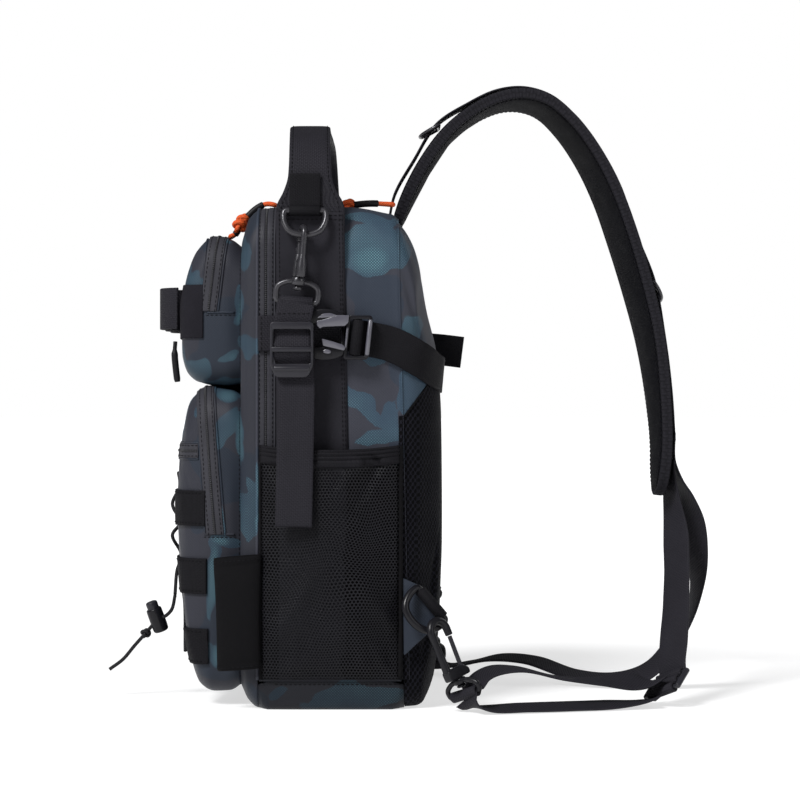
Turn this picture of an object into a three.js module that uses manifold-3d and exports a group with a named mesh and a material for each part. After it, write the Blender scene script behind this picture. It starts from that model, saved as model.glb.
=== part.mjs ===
// A single-shoulder fishing backpack: a hollow fabric body with two front pockets, mesh side pockets, a carry
// handle, a padded shoulder strap on two webbing legs, and the plastic and metal hardware that joins them.
// Millimetres, +Z up. +X points to the wearer's back, -Y is the side with the hanging strap ("near").
// The origin is the middle of the flat base.

import * as THREE from "three";
import { mergeVertices } from "three/addons/utils/BufferGeometryUtils.js";
import Module from "manifold-3d";

const wasm = await Module();
wasm.setup();

// Driving dimensions
const BODY_HEIGHT = 354;
const FABRIC = 2; // coated fabric with its lining
const PAD_FOAM = 9; // foam of the back panel
const SEAM_GAP = 0.3; // between pieces that touch
const TAPE = 1; // zip tape and flat trim
const WEBBING = 1.6; // thickness of all webbing
const WEBBING_WIDTH = 25;
const SLEEVE_EASE = 0.5; // clearance of a bar in its webbing sleeve
const ZIP_FRONT_X = -52.5; // front edge of the main zip on the gusset
const ZIP_BACK_X = -40.6;
const BAND_BACK_X = 8; // back edge of the black side band
const BASE_TOP_Z = 21; // the base panel turns up this far
const POCKET_TOP_Z = 182; // hem of the mesh side pockets
const BACK_SEAM_X = 41; // seam of body and back pad, at the top
const BACK_SEAM_LEAN = 9; // the same seam lies this much further back at the base
const POCKET_RIM_X = -65.3; // front pockets meet the front panel here

const NEAR = -1;
const FAR = 1;

// Body sections from front to back, each a rounded rectangle across the bag
const BODY = [
  { x: -65, halfWidth: 113, zLow: 14, zHigh: 331, rTop: 30, rBottom: 22, bulge: 0, lean: 0 },
  { x: -60, halfWidth: 118, zLow: 5, zHigh: 346, rTop: 30, rBottom: 20, bulge: 1, lean: 0 },
  { x: ZIP_FRONT_X, halfWidth: 120, zLow: 0, zHigh: 352, rTop: 30, rBottom: 18, bulge: 1.5, lean: 0 },
  { x: -20, halfWidth: 121, zLow: 0, zHigh: BODY_HEIGHT, rTop: 30, rBottom: 18, bulge: 2, lean: 0 },
  { x: 10, halfWidth: 121, zLow: 0, zHigh: BODY_HEIGHT, rTop: 30, rBottom: 18, bulge: 2, lean: 0 },
  { x: BACK_SEAM_X, halfWidth: 120, zLow: 0, zHigh: 349, rTop: 30, rBottom: 18, bulge: 1, lean: BACK_SEAM_LEAN },
];

// Back pad from the seam outwards; each section's x is its distance from the seam
const BACK_PAD = [
  { out: 0.3, halfWidth: 120, zLow: 0, zHigh: 349, rTop: 30, rBottom: 18, bulge: 1, lean: 9 },
  { out: 8, halfWidth: 119.5, zLow: 0, zHigh: 341, rTop: 32, rBottom: 22, bulge: 1, lean: 8 },
  { out: 16, halfWidth: 117, zLow: 3, zHigh: 327, rTop: 38, rBottom: 28, bulge: 0, lean: 7 },
  { out: 23, halfWidth: 110, zLow: 13, zHigh: 302, rTop: 45, rBottom: 38, bulge: 0, lean: 5 },
  { out: 30.5, halfWidth: 97, zLow: 38, zHigh: 264, rTop: 50, rBottom: 45, bulge: 0, lean: 3 },
  { out: 34.4, halfWidth: 72, zLow: 80, zHigh: 218, rTop: 50, rBottom: 50, bulge: 0, lean: 2 },
].map(({ out, ...section }) => ({ x: BACK_SEAM_X + out, ...section }));

// Front pockets from their rim on the front panel to their domed face
const UPPER_POCKET = [
  { x: POCKET_RIM_X, halfWidth: 92, zLow: 229, zHigh: 326, rTop: 24, rBottom: 18, bulge: 0, lean: 0 },
  { x: -76, halfWidth: 93, zLow: 227.8, zHigh: 333, rTop: 24, rBottom: 18, bulge: 1, lean: 0 },
  { x: -88, halfWidth: 92, zLow: 227.9, zHigh: 334, rTop: 24, rBottom: 18, bulge: 1, lean: 0 },
  { x: -98, halfWidth: 89, zLow: 229.5, zHigh: 325, rTop: 24, rBottom: 20, bulge: 1, lean: 0 },
  { x: -105.5, halfWidth: 84, zLow: 236, zHigh: 308, rTop: 22, rBottom: 20, bulge: 0, lean: 0 },
  { x: -110, halfWidth: 74, zLow: 247, zHigh: 289, rTop: 16, rBottom: 16, bulge: 0, lean: 0 },
];
const LOWER_POCKET = [
  { x: POCKET_RIM_X, halfWidth: 102, zLow: 15, zHigh: 220, rTop: 26, rBottom: 22, bulge: 0, lean: 0 },
  { x: -74, halfWidth: 103, zLow: 10, zHigh: 224.8, rTop: 26, rBottom: 22, bulge: 1, lean: 0 },
  { x: -86, halfWidth: 103, zLow: 9.5, zHigh: 225.8, rTop: 26, rBottom: 22, bulge: 1, lean: 0 },
  { x: -95, halfWidth: 100.5, zLow: 14, zHigh: 224, rTop: 26, rBottom: 24, bulge: 1, lean: 0 },
  { x: -101, halfWidth: 97, zLow: 26, zHigh: 220, rTop: 26, rBottom: 26, bulge: 0, lean: 0 },
  { x: -106, halfWidth: 92, zLow: 52, zHigh: 214, rTop: 26, rBottom: 26, bulge: 0, lean: 0 },
  { x: -109.5, halfWidth: 82, zLow: 110, zHigh: 196, rTop: 22, rBottom: 22, bulge: 0, lean: 0 },
];

// Heights of the webbing rows on the lower pocket
const MOLLE_ROWS = [
  { name: "molle_row_1", zLow: 128, zHigh: 153 },
  { name: "molle_row_2", zLow: 80, zHigh: 105 },
  { name: "molle_row_3", zLow: 33, zHigh: 58 },
];

// Carry handle, from one side band over the top to the other; centreX and width follow its flared feet
const HANDLE_HALF = [
  { y: 122.9, z: 322, centreX: -15.8, width: 47, thick: 2.4 },
  { y: 122.9, z: 353, centreX: -15.8, width: 47, thick: 2.4 },
  { y: 122.4, z: 365, centreX: -16, width: 36, thick: 3 },
  { y: 119.5, z: 379, centreX: -16, width: 30, thick: 5 },
  { y: 107, z: 397, centreX: -16.4, width: 29, thick: 6 },
  { y: 84, z: 408, centreX: -17, width: 29, thick: 6 },
  { y: 45, z: 413, centreX: -18, width: 29, thick: 6 },
];
const HANDLE_TOP = { y: 0, z: 414, centreX: -18.6, width: 29, thick: 6 };

// Padded shoulder strap from its root on the yoke to its lower end; twist turns the inner face to the near side
const SHOULDER_PAD = [
  { x: 45, y: 0, z: 348, width: 46, thick: 10, twist: 0 },
  { x: 52, y: 0, z: 366, width: 56, thick: 12, twist: 0 },
  { x: 65, y: 0, z: 391, width: 62, thick: 12.5, twist: 0 },
  { x: 82, y: 0, z: 414, width: 64, thick: 12.5, twist: 0 },
  { x: 102, y: 0, z: 430, width: 64, thick: 12.5, twist: 1 },
  { x: 121, y: 0, z: 438.5, width: 64, thick: 12.5, twist: 2 },
  { x: 138, y: 0, z: 440, width: 64, thick: 12.5, twist: 4 },
  { x: 154, y: 0, z: 435, width: 64, thick: 12.5, twist: 6 },
  { x: 170, y: 0, z: 421, width: 64, thick: 12.5, twist: 8 },
  { x: 186.5, y: -1, z: 398, width: 64, thick: 12.5, twist: 9.5 },
  { x: 200.5, y: -2, z: 370, width: 64, thick: 12.5, twist: 10.5 },
  { x: 212, y: -3, z: 338, width: 64, thick: 12.5, twist: 11 },
  { x: 223, y: -5, z: 301, width: 62, thick: 12.5, twist: 11 },
  { x: 232, y: -7, z: 264, width: 60, thick: 12.5, twist: 10 },
  { x: 237.5, y: -9, z: 226, width: 56, thick: 12.5, twist: 8 },
  { x: 240.5, y: -12, z: 186, width: 50, thick: 12.5, twist: 6 },
  { x: 241.5, y: -15, z: 150, width: 38, thick: 11, twist: 4 },
];
// Webbing sewn along the pad's outer face; lift is how far each stretch stands off it
const PAD_WEBBING_LIFT = [0, 5, 1, 5, 0, 0, 0, 0, 0, 0.5, 2.5, 0, 5, 1, 0, 0];

// Free webbing legs: centre line, and the direction that the webbing's width takes there
const LEG_NEAR = [
  { x: 240.2, y: -15.6, z: 148, across: [0, -1, 0] },
  { x: 244, y: -19, z: 132, across: [0.3, -0.95, 0] },
  { x: 250, y: -26, z: 117, across: [0.58, -0.8, 0] },
  { x: 252, y: -39, z: 94, across: [0.74, -0.66, 0] },
  { x: 249.5, y: -55, z: 70, across: [0.76, -0.64, 0] },
  { x: 245, y: -73, z: 44, across: [0.74, -0.66, 0.1] },
  { x: 242.4, y: -83, z: 28.5, across: [0.7, -0.66, 0.26] },
  { x: 241.5, y: -86.6, z: 20.8, across: [0.66, -0.67, 0.34] },
];
const LEG_FLOOR = [
  { x: 92.9, y: -139.2, z: 10.2, across: [-0.69, 0.66, -0.29] },
  { x: 97, y: -140, z: 5.6, across: [-0.5, 0.85, -0.1] },
  { x: 108, y: -138, z: 2.9, across: [-0.3, 0.95, 0.06] },
  { x: 134, y: -131, z: 2.9, across: [-0.28, 0.95, 0.12] },
  { x: 166, y: -122, z: 3, across: [-0.3, 0.95, 0.13] },
  { x: 196, y: -113, z: 3.2, across: [-0.36, 0.92, 0.1] },
  { x: 218, y: -106, z: 4.4, across: [-0.5, 0.85, -0.1] },
  { x: 229, y: -104.6, z: 6.4, across: [-0.68, 0.66, -0.3] },
];
const LEG_LOOP = [
  { x: 97.4, y: -132.8, z: 16.4, across: [-0.69, 0.66, -0.29] },
  { x: 103, y: -128.4, z: 22.6, across: [-0.5, 0.8, 0] },
  { x: 113, y: -124.6, z: 27, across: [-0.35, 0.9, 0.2] },
  { x: 130, y: -120, z: 27.4, across: [-0.3, 0.9, 0.3] },
  { x: 158, y: -113, z: 22.6, across: [-0.28, 0.9, 0.34] },
  { x: 188, y: -106, z: 18.6, across: [-0.3, 0.92, 0.28] },
  { x: 214, y: -101, z: 17, across: [-0.45, 0.88, 0.05] },
  { x: 231.5, y: -96, z: 17.6, across: [-0.68, 0.66, -0.3] },
];
const LEG_FAR = [
  { x: 249.2, y: -11.6, z: 185, across: [-0.1, 1, 0] },
  { x: 250, y: -13.2, z: 168, across: [-0.09, 1, 0] },
  { x: 251.6, y: -13.6, z: 157, across: [0, 1, 0] },
  { x: 257.5, y: -12, z: 144, across: [-0.15, 0.98, 0] },
  { x: 264, y: -8.5, z: 127, across: [-0.5, 0.86, 0] },
  { x: 267, y: -3.5, z: 104, across: [-0.64, 0.77, 0] },
  { x: 264.5, y: 2, z: 78, across: [-0.66, 0.75, 0] },
  { x: 258.5, y: 6, z: 54, across: [-0.5, 0.86, 0] },
  { x: 249, y: 10, z: 32, across: [-0.3, 0.95, 0.05] },
  { x: 233, y: 16, z: 15, across: [0, 0.99, 0.1] },
  { x: 208, y: 28, z: 7, across: [0.3, 0.94, 0.2] },
  { x: 178, y: 46, z: 7.6, across: [0.45, 0.87, 0.24] },
  { x: 148, y: 66, z: 14, across: [0.5, 0.83, 0.26] },
  { x: 122, y: 86, z: 16.4, across: [0.55, 0.81, 0.24] },
  { x: 98, y: 110, z: 10, across: [0.62, 0.77, 0.12] },
  { x: 80, y: 131, z: 6, across: [0.7, 0.7, 0.08] },
  { x: 72.3, y: 141.6, z: 6.9, across: [0.75, 0.66, 0.09] },
];

// Elastic lacing over the lower pocket: height, sideways place and distance off the pocket's face
const LACING = [
  { y: -62, z: 36, off: 5 },
  { y: -34, z: 69, off: 4.6 },
  { y: -62, z: 93, off: 4 },
  { y: -34, z: 117, off: 4 },
  { y: -62, z: 141, off: 4 },
  { y: -48, z: 163, off: 4 },
  { y: -30, z: 141, off: 8 },
  { y: -56, z: 117, off: 8.4 },
  { y: -28, z: 93, off: 8.4 },
  { y: -48, z: 76, off: 9 },
];
const LACE_DIAMETER = 2.6;
// Its free tail runs through the cord lock to a knot
const TAIL = [
  { x: -116.4, y: -49.1, z: 75.1 },
  { x: -119, y: -44, z: 65 },
  { x: -124, y: -38, z: 59.5 },
  { x: -130.5, y: -33, z: 56 },
  { x: -139.5, y: -31, z: 46 },
  { x: -148, y: -30, z: 36.5 },
  { x: -156, y: -30, z: 27 },
  { x: -166, y: -30, z: 19.5 },
];
const KNOT_AT = 4; // row of TAIL where the knot is tied
const KNOT_RADIUS = 3.3;

// Colours
const COLOUR = {
  camo: 0x2c4152, black: 0x1c1c20, zip: 0x2a2a2d, mesh: 0x131316, pad: 0x18181b,
  plastic: 0x232327, metal: 0x3b3b42, orange: 0xe8511c, cord: 0x121214,
};
const FINISH = {
  camo: { color: COLOUR.camo, roughness: 0.55, metalness: 0 },
  black: { color: COLOUR.black, roughness: 0.85, metalness: 0 },
  zip: { color: COLOUR.zip, roughness: 0.6, metalness: 0 },
  mesh: { color: COLOUR.mesh, roughness: 0.9, metalness: 0 },
  pad: { color: COLOUR.pad, roughness: 0.9, metalness: 0 },
  plastic: { color: COLOUR.plastic, roughness: 0.45, metalness: 0 },
  metal: { color: COLOUR.metal, roughness: 0.35, metalness: 0.8 },
  orange: { color: COLOUR.orange, roughness: 0.6, metalness: 0 },
  cord: { color: COLOUR.cord, roughness: 0.8, metalness: 0 },
};

const bag = new THREE.Group();

function add(name, geometry, finish, parent = bag) {
  const mesh = new THREE.Mesh(geometry, new THREE.MeshStandardMaterial(FINISH[finish]));
  mesh.name = name;
  parent.add(mesh);
  return mesh;
}

// Closed surfaces from points

function signedVolume(points, faces) {
  let six = 0;
  for (let i = 0; i < faces.length; i += 3) {
    const [a, b, c] = [points[faces[i]], points[faces[i + 1]], points[faces[i + 2]]];
    six += a.dot(b.clone().cross(c));
  }
  return six / 6;
}

function surface(points, faces) {
  const facingOut = signedVolume(points, faces) < 0 ? faces.slice().reverse() : faces;
  const positions = new Float32Array(points.flatMap((p) => [p.x, p.y, p.z]));
  const geometry = new THREE.BufferGeometry();
  geometry.setAttribute("position", new THREE.BufferAttribute(positions, 3));
  geometry.setIndex(facingOut);
  return geometry;
}

// Joins rings of equal length one after the other; the ends are closed flat, or joined to each other.
function loft(rings, joinEnds = false) {
  const count = rings[0].length;
  const faces = [];
  const spans = joinEnds ? rings.length : rings.length - 1;
  for (let i = 0; i < spans; i++) {
    const here = i * count;
    const next = ((i + 1) % rings.length) * count;
    for (let j = 0; j < count; j++) {
      const k = (j + 1) % count;
      faces.push(here + j, here + k, next + k, here + j, next + k, next + j);
    }
  }
  if (!joinEnds) {
    const last = (rings.length - 1) * count;
    for (let j = 1; j < count - 1; j++) {
      faces.push(0, j + 1, j, last, last + j, last + j + 1);
    }
  }
  return surface(rings.flat(), faces);
}

// Joining and cutting

function solidOf(geometry) {
  const plain = new THREE.BufferGeometry();
  plain.setAttribute("position", geometry.getAttribute("position"));
  if (geometry.index) plain.setIndex(geometry.index);
  const welded = mergeVertices(plain, 1e-4);
  return new wasm.Manifold(
    new wasm.Mesh({
      numProp: 3,
      vertProperties: welded.getAttribute("position").array,
      triVerts: new Uint32Array(welded.index.array),
    }),
  );
}

function geometryOf(solid) {
  const mesh = solid.getMesh();
  const geometry = new THREE.BufferGeometry();
  geometry.setAttribute("position", new THREE.BufferAttribute(mesh.vertProperties, 3));
  geometry.setIndex(new THREE.BufferAttribute(mesh.triVerts, 1));
  return geometry;
}

const union = (...parts) => geometryOf(parts.map(solidOf).reduce((a, b) => a.add(b)));
const cut = (from, ...tools) => geometryOf(tools.map(solidOf).reduce((a, b) => a.subtract(b), solidOf(from)));
const keep = (from, region) => geometryOf(solidOf(from).intersect(solidOf(region)));

function block(low, high) {
  const size = high.map((value, axis) => value - low[axis]);
  const centre = high.map((value, axis) => (value + low[axis]) / 2);
  return new THREE.BoxGeometry(...size).translate(...centre);
}

// A round bar between two points
function bar(from, to, radius, sides = 10) {
  const [a, b] = [new THREE.Vector3(...from), new THREE.Vector3(...to)];
  const along = b.clone().sub(a);
  const turn = new THREE.Quaternion().setFromUnitVectors(new THREE.Vector3(0, 1, 0), along.clone().normalize());
  const middle = a.add(b).multiplyScalar(0.5);
  return new THREE.CylinderGeometry(radius, radius, along.length(), sides)
    .applyQuaternion(turn)
    .translate(middle.x, middle.y, middle.z);
}

// A round tube along points, with flat ends
function tube(points, radius, steps, sides = 6) {
  const path = new THREE.CatmullRomCurve3(points.map((p) => new THREE.Vector3(...p)));
  const corners = [];
  for (let i = 0; i < sides; i++) {
    const angle = (2 * Math.PI * i) / sides;
    corners.push(new THREE.Vector2(radius * Math.cos(angle), radius * Math.sin(angle)));
  }
  const section = new THREE.Shape(corners);
  return new THREE.ExtrudeGeometry(section, { steps, extrudePath: path, bevelEnabled: false });
}

// Rounded rectangle sections of the bag and its pockets

const ARC_STEPS = 3;
const SIDE_STEPS = 3;
const LEVEL_STEPS = 2;

// Points round one section, from the foot of the near side up, over the top and back under
function sectionRing(section, offset = 0) {
  const half = section.halfWidth + offset;
  const low = section.zLow - offset;
  const high = section.zHigh + offset;
  const rTop = Math.max(section.rTop + offset, 1);
  const rBottom = Math.max(section.rBottom + offset, 1);
  const ring = [];
  const place = (y, z) => {
    const x = section.x + section.lean * (1 - z / BODY_HEIGHT);
    ring.push(new THREE.Vector3(x, y, z));
  };
  const side = (sign, from, to) => {
    for (let i = 0; i < SIDE_STEPS; i++) {
      const t = i / SIDE_STEPS;
      place(sign * (half + section.bulge * Math.sin(Math.PI * t)), from + (to - from) * t);
    }
  };
  const corner = (y, z, radius, start) => {
    for (let i = 0; i < ARC_STEPS; i++) {
      const angle = start - (i / ARC_STEPS) * (Math.PI / 2);
      place(y + radius * Math.cos(angle), z + radius * Math.sin(angle));
    }
  };
  const level = (z, from, to) => {
    for (let i = 0; i < LEVEL_STEPS; i++) place(from + ((to - from) * i) / LEVEL_STEPS, z);
  };
  side(NEAR, low + rBottom, high - rTop);
  corner(-half + rTop, high - rTop, rTop, Math.PI);
  level(high, -half + rTop, half - rTop);
  corner(half - rTop, high - rTop, rTop, Math.PI / 2);
  side(FAR, high - rTop, low + rBottom);
  corner(half - rBottom, low + rBottom, rBottom, 0);
  level(low, half - rBottom, -half + rBottom);
  corner(-half + rBottom, low + rBottom, rBottom, -Math.PI / 2);
  return ring;
}

// The section at any x between the rows of a table
function sectionAt(table, x) {
  const rising = table[0].x < table[table.length - 1].x;
  const rows = rising ? table : table.slice().reverse();
  let i = 0;
  while (i < rows.length - 2 && x > rows[i + 1].x) i++;
  const t = (x - rows[i].x) / (rows[i + 1].x - rows[i].x);
  const between = {};
  for (const key of Object.keys(rows[i])) between[key] = rows[i][key] + t * (rows[i + 1][key] - rows[i][key]);
  return between;
}

// The wall between two x, open at both ends
function wallBetween(table, xs, wall) {
  const outer = xs.map((x) => sectionRing(sectionAt(table, x)));
  const inner = xs.map((x) => sectionRing(sectionAt(table, x), -wall)).reverse();
  return loft([...outer, ...inner], true);
}

// A table whose face moves out by offset while its rim stays; sections grow by the same amount
function grown(table, offset) {
  const rim = table[0].x;
  const depth = Math.abs(table[table.length - 1].x - rim);
  const share = (depth + offset) / depth;
  return table.map((section) => sectionRing({ ...section, x: rim + (section.x - rim) * share }, offset));
}

// A cup with its rim at the table's first row and its face at the last
const cup = (table, wall) => loft([...grown(table, -wall).reverse(), ...grown(table, 0)]);

// A layer that lies over a table's surface between two offsets, inside a block
function layer(table, low, high, region) {
  return keep(cut(loft(grown(table, high)), loft(grown(table, low))), region);
}

// Flat and padded straps

// Rings along a strap: rows have a place, a width direction, and the section's half sizes
function strapRings(rows, sectionPoints) {
  const places = rows.map((row) => row.at);
  return rows.map((row, i) => {
    const before = places[Math.max(i - 1, 0)];
    const after = places[Math.min(i + 1, places.length - 1)];
    const along = after.clone().sub(before).normalize();
    const across = row.across.clone().addScaledVector(along, -row.across.dot(along)).normalize();
    const out = along.clone().cross(across);
    return sectionPoints(row).map(([w, t]) => row.at.clone().addScaledVector(across, w).addScaledVector(out, t));
  });
}

const flatSection = ({ width, thick }) => [
  [-width / 2, -thick / 2], [width / 2, -thick / 2], [width / 2, thick / 2], [-width / 2, thick / 2],
];

// A pad's section: flat faces with edges that narrow to a rounded rim
function paddedSection({ width, thick }) {
  const rim = Math.min(width / 2, thick * 0.5);
  return [
    [-width / 2, 0], [-width / 2 + rim * 0.3, -thick * 0.36], [-width / 2 + rim, -thick / 2],
    [width / 2 - rim, -thick / 2], [width / 2 - rim * 0.3, -thick * 0.36], [width / 2, 0],
    [width / 2 - rim * 0.3, thick * 0.36], [width / 2 - rim, thick / 2], [width * 0.2, thick / 2],
    [-width * 0.2, thick / 2], [-width / 2 + rim, thick / 2], [-width / 2 + rim * 0.3, thick * 0.36],
  ];
}

function webbing(rows, width = WEBBING_WIDTH) {
  const full = rows.map((row) => ({
    at: new THREE.Vector3(row.x, row.y, row.z),
    across: new THREE.Vector3(...row.across),
    width: row.width ?? width,
    thick: row.thick ?? WEBBING,
  }));
  return loft(strapRings(full, flatSection));
}

// A round sleeve of webbing about a bar, which passes through it with a small clearance
function sleeve(from, to, barRadius) {
  const axis = new THREE.Vector3(...to).sub(new THREE.Vector3(...from)).normalize();
  const [a, b] = [new THREE.Vector3(...from).sub(axis), new THREE.Vector3(...to).add(axis)];
  const inside = barRadius + SLEEVE_EASE;
  return { outer: bar(from, to, inside + WEBBING, 8), bore: bar(a.toArray(), b.toArray(), inside, 8) };
}

// A D-shaped ring of wire: a straight bar, and a bow that reaches depth below it; width is to wire centres
function dRing(width, depth, wire) {
  const half = width / 2;
  const side = [[0.3, 0], [0.72, 0], [0.95, -0.02], [1.02, -0.2], [0.96, -0.52], [0.72, -0.84], [0.3, -0.99]];
  const right = side.map(([x, z]) => [x * half, z * depth]);
  const left = right.slice().reverse().map(([x, z]) => [-x, z]);
  const route = [...right, ...left].map(([x, z]) => new THREE.Vector3(x, 0, z));
  const path = new THREE.CatmullRomCurve3(route, true, "centripetal");
  return new THREE.TubeGeometry(path, 18, wire / 2, 5, true);
}

// A flat plate in the XZ plane: an outline with holes, thick towards -Y from y = 0
function plate(outline, holes, thick) {
  const shape = new THREE.Shape(outline.map(([x, z]) => new THREE.Vector2(x, z)));
  for (const hole of holes) shape.holes.push(new THREE.Path(hole.map(([x, z]) => new THREE.Vector2(x, z))));
  return new THREE.ExtrudeGeometry(shape, { depth: thick, bevelEnabled: false }).rotateX(Math.PI / 2);
}

const rectangle = (x0, z0, x1, z1) => [[x0, z0], [x1, z0], [x1, z1], [x0, z1]];

// Body

const FAR_AWAY = 500; // larger than the bag, for the blocks that cut it
const seamX = (z) => BACK_SEAM_X + BACK_SEAM_LEAN * (1 - z / BODY_HEIGHT);

function buildBody() {
  const above = (z) => block([-FAR_AWAY, -FAR_AWAY, z], [FAR_AWAY, FAR_AWAY, FAR_AWAY]);
  const below = (z) => block([-FAR_AWAY, -FAR_AWAY, -FAR_AWAY], [FAR_AWAY, FAR_AWAY, z]);

  const frontRows = [ZIP_FRONT_X - SEAM_GAP, -60, -65].map((x) => sectionAt(BODY, x));
  add("front_panel", cup(frontRows, FABRIC), "camo");

  const zipXs = [ZIP_FRONT_X, ZIP_BACK_X - SEAM_GAP];
  add("main_zip", keep(wallBetween(BODY, zipXs, TAPE), above(BASE_TOP_Z + SEAM_GAP)), "zip");

  const gussetXs = [ZIP_BACK_X, -20, 10, BACK_SEAM_X];
  add("gusset_shell", keep(wallBetween(BODY, gussetXs, FABRIC), above(BASE_TOP_Z + SEAM_GAP)), "camo");

  const baseXs = [ZIP_FRONT_X, -20, 10, BACK_SEAM_X];
  add("base_panel", keep(wallBetween(BODY, baseXs, FABRIC), below(BASE_TOP_Z)), "camo");
}

// The back pad is one foam shell, divided by a slanting seam into a fabric yoke and a mesh lower part
function buildBackPad() {
  const pad = cup(BACK_PAD, PAD_FOAM);
  const SEAM_Z = 200; // where the dividing seam meets the body
  const SEAM_RISE = 1.35; // it rises this much for each millimetre towards the back
  const slope = (z) => z + SEAM_RISE * FAR_AWAY;
  const from = BACK_SEAM_X + 5;
  const wedge = (z0, z1) => {
    const profile = [[from, z0], [from + FAR_AWAY, slope(z0)], [from + FAR_AWAY, z1], [from - FAR_AWAY, z1]];
    const outline = [...profile, [from - FAR_AWAY, z0 - SEAM_RISE * FAR_AWAY]];
    return plate(outline, [], 2 * FAR_AWAY).translate(0, FAR_AWAY, 0);
  };
  add("back_yoke", keep(pad, wedge(SEAM_Z + SEAM_GAP, 4 * FAR_AWAY)), "camo");
  add("back_mesh_pad", cut(pad, wedge(SEAM_Z, 4 * FAR_AWAY)), "mesh");
}

// A black fabric band down the middle of each side, outside the gusset
function buildSideBand(name, side) {
  const TOP_Z = 321.5;
  const OUTER = SEAM_GAP + 1.5;
  const xs = [ZIP_BACK_X + 1, -20, BAND_BACK_X];
  const outer = xs.map((x) => sectionRing(sectionAt(BODY, x), OUTER));
  const inner = xs.map((x) => sectionRing(sectionAt(BODY, x), SEAM_GAP)).reverse();
  const ring = loft([...outer, ...inner], true);
  const yLow = side === NEAR ? -FAR_AWAY : 60;
  const region = block([-FAR_AWAY, yLow, BASE_TOP_Z + 1], [FAR_AWAY, yLow + FAR_AWAY - 60, TOP_Z]);
  add(name, keep(ring, region), "black");
}

// A slack mesh pocket on one side: a bowed wall whose top hem is open, sewn along its foot and both edges
function buildMeshPocket(name, side) {
  const WALL = 1.2;
  const HEM = 2.2; // thickness of the bound top edge
  const BOW = 15; // how far the middle of the hem stands off the side
  const [X0, X1] = [ZIP_FRONT_X + 1.5, seamX(100) - 0.5];
  const STATIONS = 9;
  const LEVELS = [
    { z: BASE_TOP_Z + 1.5, bow: 0.02, wall: WALL },
    { z: BASE_TOP_Z + 10, bow: 0.45, wall: WALL },
    { z: 60, bow: 0.85, wall: WALL },
    { z: 120, bow: 1, wall: WALL },
    { z: POCKET_TOP_Z - 12, bow: 0.97, wall: WALL },
    { z: POCKET_TOP_Z - 11, bow: 0.97, wall: HEM },
    { z: POCKET_TOP_Z, bow: 0.95, wall: HEM },
  ];
  const CLEAR = 2.3; // the wall's edges lie this far off the gusset
  const point = (i, level, thickness) => {
    const t = i / (STATIONS - 1);
    const x = X0 + (X1 - X0) * t;
    const belly = Math.pow(Math.sin(Math.PI * t), 0.6) * BOW * level.bow;
    const y = 123 + CLEAR - 2 + belly + thickness;
    return new THREE.Vector3(x, side * y, level.z);
  };
  const rings = LEVELS.map((level) => {
    const ring = [];
    for (let i = 0; i < STATIONS; i++) ring.push(point(i, level, level.wall));
    for (let i = STATIONS - 1; i >= 0; i--) ring.push(point(i, level, 0));
    return ring;
  });
  add(name, strip(rings), "mesh");
}

// A lofted strip whose end rings are long and bent: its ends are closed between facing pairs of points
function strip(rings) {
  const count = rings[0].length;
  const faces = [];
  for (let i = 0; i < rings.length - 1; i++) {
    for (let j = 0; j < count; j++) {
      const k = (j + 1) % count;
      const [here, next] = [i * count, (i + 1) * count];
      faces.push(here + j, here + k, next + k, here + j, next + k, next + j);
    }
  }
  const last = (rings.length - 1) * count;
  for (let j = 0; j < count / 2 - 1; j++) {
    const facing = count - 1 - j;
    faces.push(j, facing, facing - 1, j, facing - 1, j + 1);
    faces.push(last + j, last + facing - 1, last + facing, last + j, last + j + 1, last + facing - 1);
  }
  return surface(rings.flat(), faces);
}

function buildHandle() {
  const half = HANDLE_HALF.map((row) => ({ ...row, y: -row.y }));
  const rows = [...half, HANDLE_TOP, ...HANDLE_HALF.slice().reverse()].map((row) => ({
    at: new THREE.Vector3(row.centreX, row.y, row.z),
    across: new THREE.Vector3(1, 0, 0),
    width: row.width,
    thick: row.thick,
  }));
  add("carry_handle", loft(strapRings(rows, flatSection)), "black");
}

// Front pockets

function buildFrontPockets() {
  add("upper_pocket", cup(UPPER_POCKET, FABRIC), "camo");
  add("lower_pocket", cup(LOWER_POCKET, FABRIC), "camo");

  const over = (x0, x1, zLow) => block([x0, -FAR_AWAY, zLow], [x1, FAR_AWAY, FAR_AWAY]);
  const [LOW, HIGH] = [SEAM_GAP, SEAM_GAP + TAPE];
  add("upper_pocket_zip", layer(UPPER_POCKET, LOW, HIGH, over(-89.5, -77.5, 269)), "zip");
  add("lower_pocket_zip", layer(LOWER_POCKET, LOW, HIGH, over(-91.6, -80, 122)), "zip");

  const across = (x1, zLow, zHigh) => block([-FAR_AWAY, -FAR_AWAY, zLow], [x1, FAR_AWAY, zHigh]);
  add("lower_front_zip", layer(LOWER_POCKET, LOW, HIGH, across(-95.5, 173, 185)), "zip");
  for (const row of MOLLE_ROWS) {
    const flat = layer(LOWER_POCKET, SEAM_GAP, SEAM_GAP + WEBBING, across(-92, row.zLow, row.zHigh));
    add(row.name, flat, "black");
  }
  add("hook_panel", layer(UPPER_POCKET, LOW, HIGH, across(-90.5, 256, 303)), "black");
}

// A webbing row over the hook panel, sewn down between loops that stand off it
function buildUpperWebbing() {
  const Z = 283;
  const LOOPS = 3;
  const HALF_LENGTH = 66;
  const LIFT = 14;
  const BASE_X = -112.9;
  const rows = [];
  const STEPS = 18;
  for (let i = 0; i <= STEPS; i++) {
    const t = i / STEPS;
    const wave = Math.pow(Math.abs(Math.sin(Math.PI * LOOPS * t)), 0.7);
    rows.push({ x: BASE_X - LIFT * wave, y: -HALF_LENGTH + 2 * HALF_LENGTH * t, z: Z, across: [0, 0, 1] });
  }
  add("upper_webbing", webbing(rows, 30), "black");
}

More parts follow.
